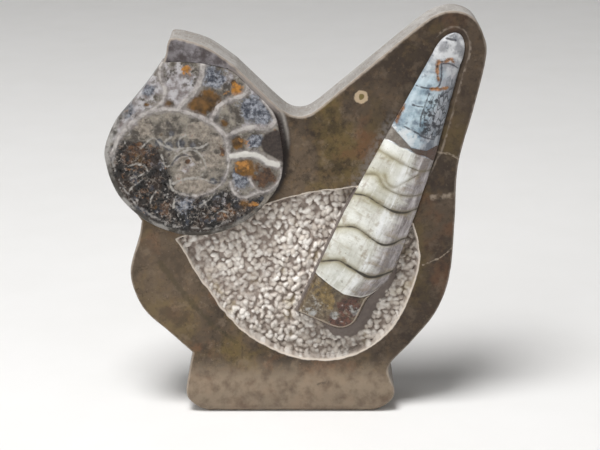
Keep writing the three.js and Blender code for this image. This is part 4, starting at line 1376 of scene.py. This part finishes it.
colour = coats(
    colour,
    ((138, 132, 130), halo, 0.8),
    (wall_tone, drawn("wall", 0.02, 0.3, 0.75, 460.0), 0.92),
    (paint(rim_tone, (52, 48, 42), fade(dust, 0.54, 0.68), 0.7), outer_rim, 0.95),
    ((150, 146, 142), inner_rim, 0.7),
    (paint((176, 173, 167), (222, 219, 213), dust), drawn("chalk", 0.0, 0.3, 0.9, 420.0)),
)
roughness = either(both(crust, fine["Facets"]), both(either(outer_rim, inner_rim), 0.6))
relief = plus(both(both(crystals["Height"], crust), 1.6), both(stone["Grain"], 0.25))
relief = plus(relief, both(fine["Height"], field("smoke")))
finish_with(calcite, colour, spread(roughness, 0.2, 0.5), relief, 0.5, 0.3)
ammonite.data.materials.append(calcite)

# %% [markdown]
# ## Finish: the shell of the orthoceras
# The shell is cream calcite, polished until it shines. Towards its right side it turns pinkish grey with
# streaks along the shell, and that greying is partly painted shade on the side turned from the light. A
# pale streak near the middle is a painted highlight, and a dark line of painted shadow runs under its
# lower edge. Beside the sutures on its left an olive stain has soaked in. The sutures are dark, thin, and
# thicker here and there. Noise that is stretched along the axis gives the streaks; the stretched place
# comes from the fields that say how far along and across the shell each point lies.

# %% Shell of the orthoceras
HALF_SHELL = 11


def shell_place(along, across):
    """A place on the shell for noise, in metres, stretched along or across the axis."""
    s, t = both(field("along"), MM * along), both(field("across"), MM * HALF_SHELL * across)
    return put("ShaderNodeCombineXYZ", {0: t, 1: s}).outputs[0]


shell_finish, tree = new_finish("orthoceras shell", IOR=1.55)
stone = place_group(stone_group, patch_scale=110.0, seed=11.0)
along, across, suture = field("along"), field("across"), field("suture")
streaks = noise(1.4, 4, 2.0, 0.6, shell_place(0.16, 1.0))
bands = noise(2.2, 4, 5.0, 0.6, shell_place(1.0, 0.22))
grey = paint((100, 92, 93), (164, 156, 158), fade(streaks, 0.38, 0.62))
near_suture = fade(plus(suture, both(bands, 3.0)), 5.2, 1.0)
worn = spread(fade(along, 66.0, 40.0), 0.1, 0.6)
soft = drawn(suture, 0.75, 0.75, 0.6, 260.0)
colour = coats(
    paint((190, 189, 178), (226, 227, 221), stone["Patches"]),
    # Pinkish grey towards the right side: partly the shell's own colour and partly painted shade on the side
    # turned from the light.
    (grey, fade(plus(across, sway(bands, 1.2)), 0.0, 0.7), 0.92),
    ((150, 140, 96), both(near_suture, fade(across, 0.4, -0.5)), 0.7),
    ((148, 148, 136), both(fade(along, 34.0, 20.0), fade(across, 0.2, -0.5)), 0.4),
    ((150, 140, 112), both(fade(bands, 0.52, 0.7), worn)),
    ((138, 122, 110), fade(streaks, 0.46, 0.3), 0.42),
    # A painted highlight: a pale streak down the shell just right of its middle.
    ((234, 236, 238), both(fade(apart(across, 0.16), 0.26, 0.02), fade(streaks, 0.4, 0.6)), 0.6),
    ((132, 112, 84), fade(noise(3.4, 5, 41.0, 0.6), 0.54, 0.66), 0.45),
    ((232, 232, 230), fade(streaks, 0.56, 0.7), 0.42),
    ((104, 92, 74), stone["Specks"], 0.45),
    ((112, 101, 72), soft, 0.7),
    ((44, 38, 28), drawn(suture, 0.28, 0.18, 0.3, 330.0), 0.95),
    ((214, 212, 204), drawn("over", 0.6, 0.4, 0.3, 500.0), 0.7),
    # Painted shadow: a dark line along the shell's lower edge, where it overhangs the chamber.
    ((70, 60, 50), drawn("over", 0.12, 0.1, 0.1, 500.0), 0.9),
    ((84, 73, 64), field("wedge")),
)
roughness = spread(either(soft, both(stone["Mottle"], 0.4)), 0.22, 0.5)
finish_with(shell_finish, colour, roughness, plus(streaks, bands), 0.16, 0.12)

# %% [markdown]
# ## Finish: the living chamber and the tip
# The living chamber was cut flat through red and olive mud with pale bits of shell in it, like a small
# agate. A pale line runs along its bevelled edge as a painted highlight where the bevel is lit, the drop
# at its outer edge is painted in shade, and a dark line of painted shadow lies under the shell's lower
# edge. The tip is clear bluish calcite, white towards the end, crossed by a rusty crack and a net of dark
# ones on its right side. The crystal group draws that net.

# %% Living chamber
chamber_finish, tree = new_finish("living chamber", IOR=1.55)
stone = place_group(stone_group, patch_scale=160.0, seed=14.0)
fleck = noise(1.5, 5, 27.0, 0.6)
grit = fade(fleck, 0.35, 0.65)
ragged = plus(sway(noise(2.6, 6, 17.0, 0.65), 1.9), sway(fleck, 1.4))


def mud(name, dark, light):
    """The coat of one kind of mud in the chamber."""
    return paint(dark, light, grit), fade(plus(field(name), ragged), 0.35, 0.65)


bevel = drawn(apart(field("brink"), 0.9), 0.3, 0.2, 0.2, 400.0)
lit = either(fade(field("across"), -0.5, 0.0), fade(field("along"), 2.2, 1.4))
colour = coats(
    paint((76, 62, 46), (124, 110, 88), grit),
    mud("gold", (86, 70, 40), (136, 114, 72)),
    mud("red", (48, 29, 22), (104, 66, 50)),
    mud("pale", (112, 107, 99), (164, 163, 160)),
    ((44, 34, 26), fade(noise(1.9, 5, 31.0), 0.54, 0.66), 0.6),
    ((150, 142, 126), fade(noise(1.3, 4, 33.0), 0.58, 0.7), 0.5),
    ((182, 170, 154), both(bevel, lit), 0.8),
    # Painted shade on the drop at the chamber's outer edge.
    ((96, 84, 74), fade(field("brink"), 0.55, 0.2), 0.9),
    # Painted shadow under the shell's overhanging lower edge.
    ((62, 50, 42), fade(calc("ABSOLUTE", field("over")), 0.5, 0.1), 0.85),
)
finish_with(chamber_finish, colour, spread(stone["Mottle"], 0.22, 0.4), both(stone["Grain"], 0.4), 0.15, 0.1)

# %% Tip of the orthoceras
tip_finish, tree = new_finish("orthoceras tip", IOR=1.55)
stone = place_group(stone_group, patch_scale=130.0, seed=17.0)
net = place_group(crystal_group, place=shell_place(0.5, 1.0), crystal_scale=520.0, seed=2.6)
across, along = field("across"), field("along")
veil = noise(2.4, 6, 8.0, 0.65)
soft = noise(3.8, 3, 6.0, 0.5)
sheen = both(fade(apart(across, -0.3), 0.36, 0.06), fade(along, 104, 97))
pale = fade(plus(along, sway(noise(6, 3, 3.0), 18.0)), 92.0, 104.0)
right = both(fade(plus(across, sway(noise(4, 3, 5.0), 1.0)), 0.05, 0.5), fade(along, 108, 98))
crackle = both(field("crackle"), either(net["Seams"], fade(veil, 0.5, 0.62)))
ledge = both(fade(along, 77.4, 75.4), fade(across, 0.6, -0.3))
wedge_tone = paint((136, 129, 121), (84, 60, 50), fade(across, -0.2, 0.5))
colour = coats(
    paint((116, 137, 150), (172, 187, 195), fade(noise(5.5, 3, 4.0, 0.5), 0.36, 0.62)),
    ((90, 105, 119), fade(soft, 0.53, 0.67), 0.75),
    ((188, 208, 218), both(sheen, fade(soft, 0.58, 0.44)), 0.8),
    (paint((140, 139, 141), (202, 202, 203), fade(soft, 0.58, 0.42)), pale, 0.9),
    ((70, 79, 90), fade(veil, 0.54, 0.66), 0.6),
    (paint((82, 83, 91), (170, 168, 172), net["Facets"]), right, 0.75),
    ((26, 28, 35), crackle, 0.9),
    ((204, 208, 210), both(ledge, fade(veil, 0.56, 0.42))),
    ((58, 58, 64), drawn("crack", 0.27, 0.18, 0.45, 500.0), 0.85),
    (paint((92, 62, 38), (166, 112, 60), stone["Mottle"]), drawn("rust", 0.5, 0.4, 1.1, 420.0), 0.9),
    ((52, 36, 26), drawn("rust", 0.1, 0.1, 0.6, 700.0), 0.8),
    (paint(wedge_tone, (74, 64, 56), stone["Mottle"], 0.7), field("wedge")),
)
roughness = spread(either(crackle, both(stone["Mottle"], 0.4)), 0.2, 0.45)
relief = calc("SUBTRACT", both(stone["Grain"], 0.4), crackle)
finish_with(tip_finish, colour, roughness, relief, 0.3, 0.1)
for finish in (shell_finish, chamber_finish, tip_finish):
    orthoceras.data.materials.append(finish)
print(orthoceras.name, "takes", [m.name for m in orthoceras.data.materials])

# %% [markdown]
# ## Riding on the frame
# Each piece stands for one solid of the part, which is hidden in its place. Nothing moves on this
# object, so all three ride on the one body that the part has.

# %% Tie the pieces to the solids
for piece, node, slot in (
    (slab, "slab", "limestone"),
    (ammonite, "ammonite", "ammonite_calcite"),
    (orthoceras, "orthoceras", "orthoceras_calcite"),
):
    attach(piece, "root")
    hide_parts(node)

# %% [markdown]
# ## Floor, light and camera
# The plaque stands on a plain pale floor, a wide round dish whose rim rises out of sight. A large soft
# light hangs above and a little in front, so that the upper edges shine, and two weaker ones keep the
# face even. The camera looks down at the plaque through a long lens, from the distance and height that
# the perspective of the photo gives.

# %% Floor
FLOOR_SIDES = 64
floor_profile = [(0.3, 0.0), (1.9, 0.0), (2.2, 0.04), (2.42, 0.16), (2.55, 0.4), (2.6, 1.8)]
corners = np.linspace(0, 2 * np.pi, FLOOR_SIDES, endpoint=False)
floor_points = [(r * math.cos(a), r * math.sin(a), z) for r, z in floor_profile for a in corners]
middle_row = list(range(FLOOR_SIDES))
dish_faces, _ = skirt(middle_row, FLOOR_SIDES, len(floor_profile) - 1)
floor_mesh = bpy.data.meshes.new("floor")
floor_mesh.from_pydata(floor_points, [], [middle_row] + dish_faces)
floor_mesh.shade_smooth()
floor = bpy.data.objects.new("floor", floor_mesh)
bpy.context.scene.collection.objects.link(floor)
paper, tree = new_finish("pale paper", IOR=1.4)
colour = paint((232, 231, 229), (238, 237, 236), noise(30, 4, 1.0))
finish_with(paper, colour, spread(noise(4, 3, 2.0), 0.85, 0.95), noise(1.0, 3, 3.0), 0.1, 0.1)
floor_mesh.materials.append(paper)
print("floor of", len(floor_mesh.polygons), "faces")


# %% Light
def soft_light(name, place, size, power):
    """A round soft light that points at the middle of the plaque; sizes in metres, power in watts."""
    lamp = bpy.data.lights.new(name, "AREA")
    lamp.shape, lamp.size, lamp.energy = "DISK", size, power
    light = bpy.data.objects.new(name, lamp)
    light.location = place
    light.rotation_euler = (plaque_middle - Vector(place)).to_track_quat("-Z", "Y").to_euler()
    bpy.context.scene.collection.objects.link(light)


plaque_middle = Vector((0.0, 0.0, 0.07))
soft_light("overhead", (-0.25, -0.36, 1.3), 0.6, 17.6)
soft_light("front left", (-1.1, -1.2, 1.0), 1.1, 8.8)
soft_light("front right", (1.3, -1.1, 0.8), 1.4, 1.3)
world = bpy.data.worlds.new("studio")
world.use_nodes = True
surround = world.node_tree.nodes["Background"].inputs
surround["Color"].default_value = (1.0, 1.0, 1.0, 1.0)
surround["Strength"].default_value = 0.16
bpy.context.scene.world = world
bpy.context.scene.view_settings.view_transform = "Standard"
print("three soft lights and a pale surround")

# %% Camera
LOOK_DOWN, CAMERA_PLACE = 16.7, (0.00342, -0.6149, 0.2509)
lens = bpy.data.cameras.new("camera")
lens.lens, lens.sensor_width, lens.sensor_fit = 108.0, 36.0, "HORIZONTAL"
camera = bpy.data.objects.new("camera", lens)
camera.location = CAMERA_PLACE
camera.rotation_euler = (math.radians(90 - LOOK_DOWN), 0.0, 0.0)
bpy.context.scene.collection.objects.link(camera)
bpy.context.scene.camera = camera
print("camera", [round(v * 1000) for v in camera.location], "mm from the middle of the foot")
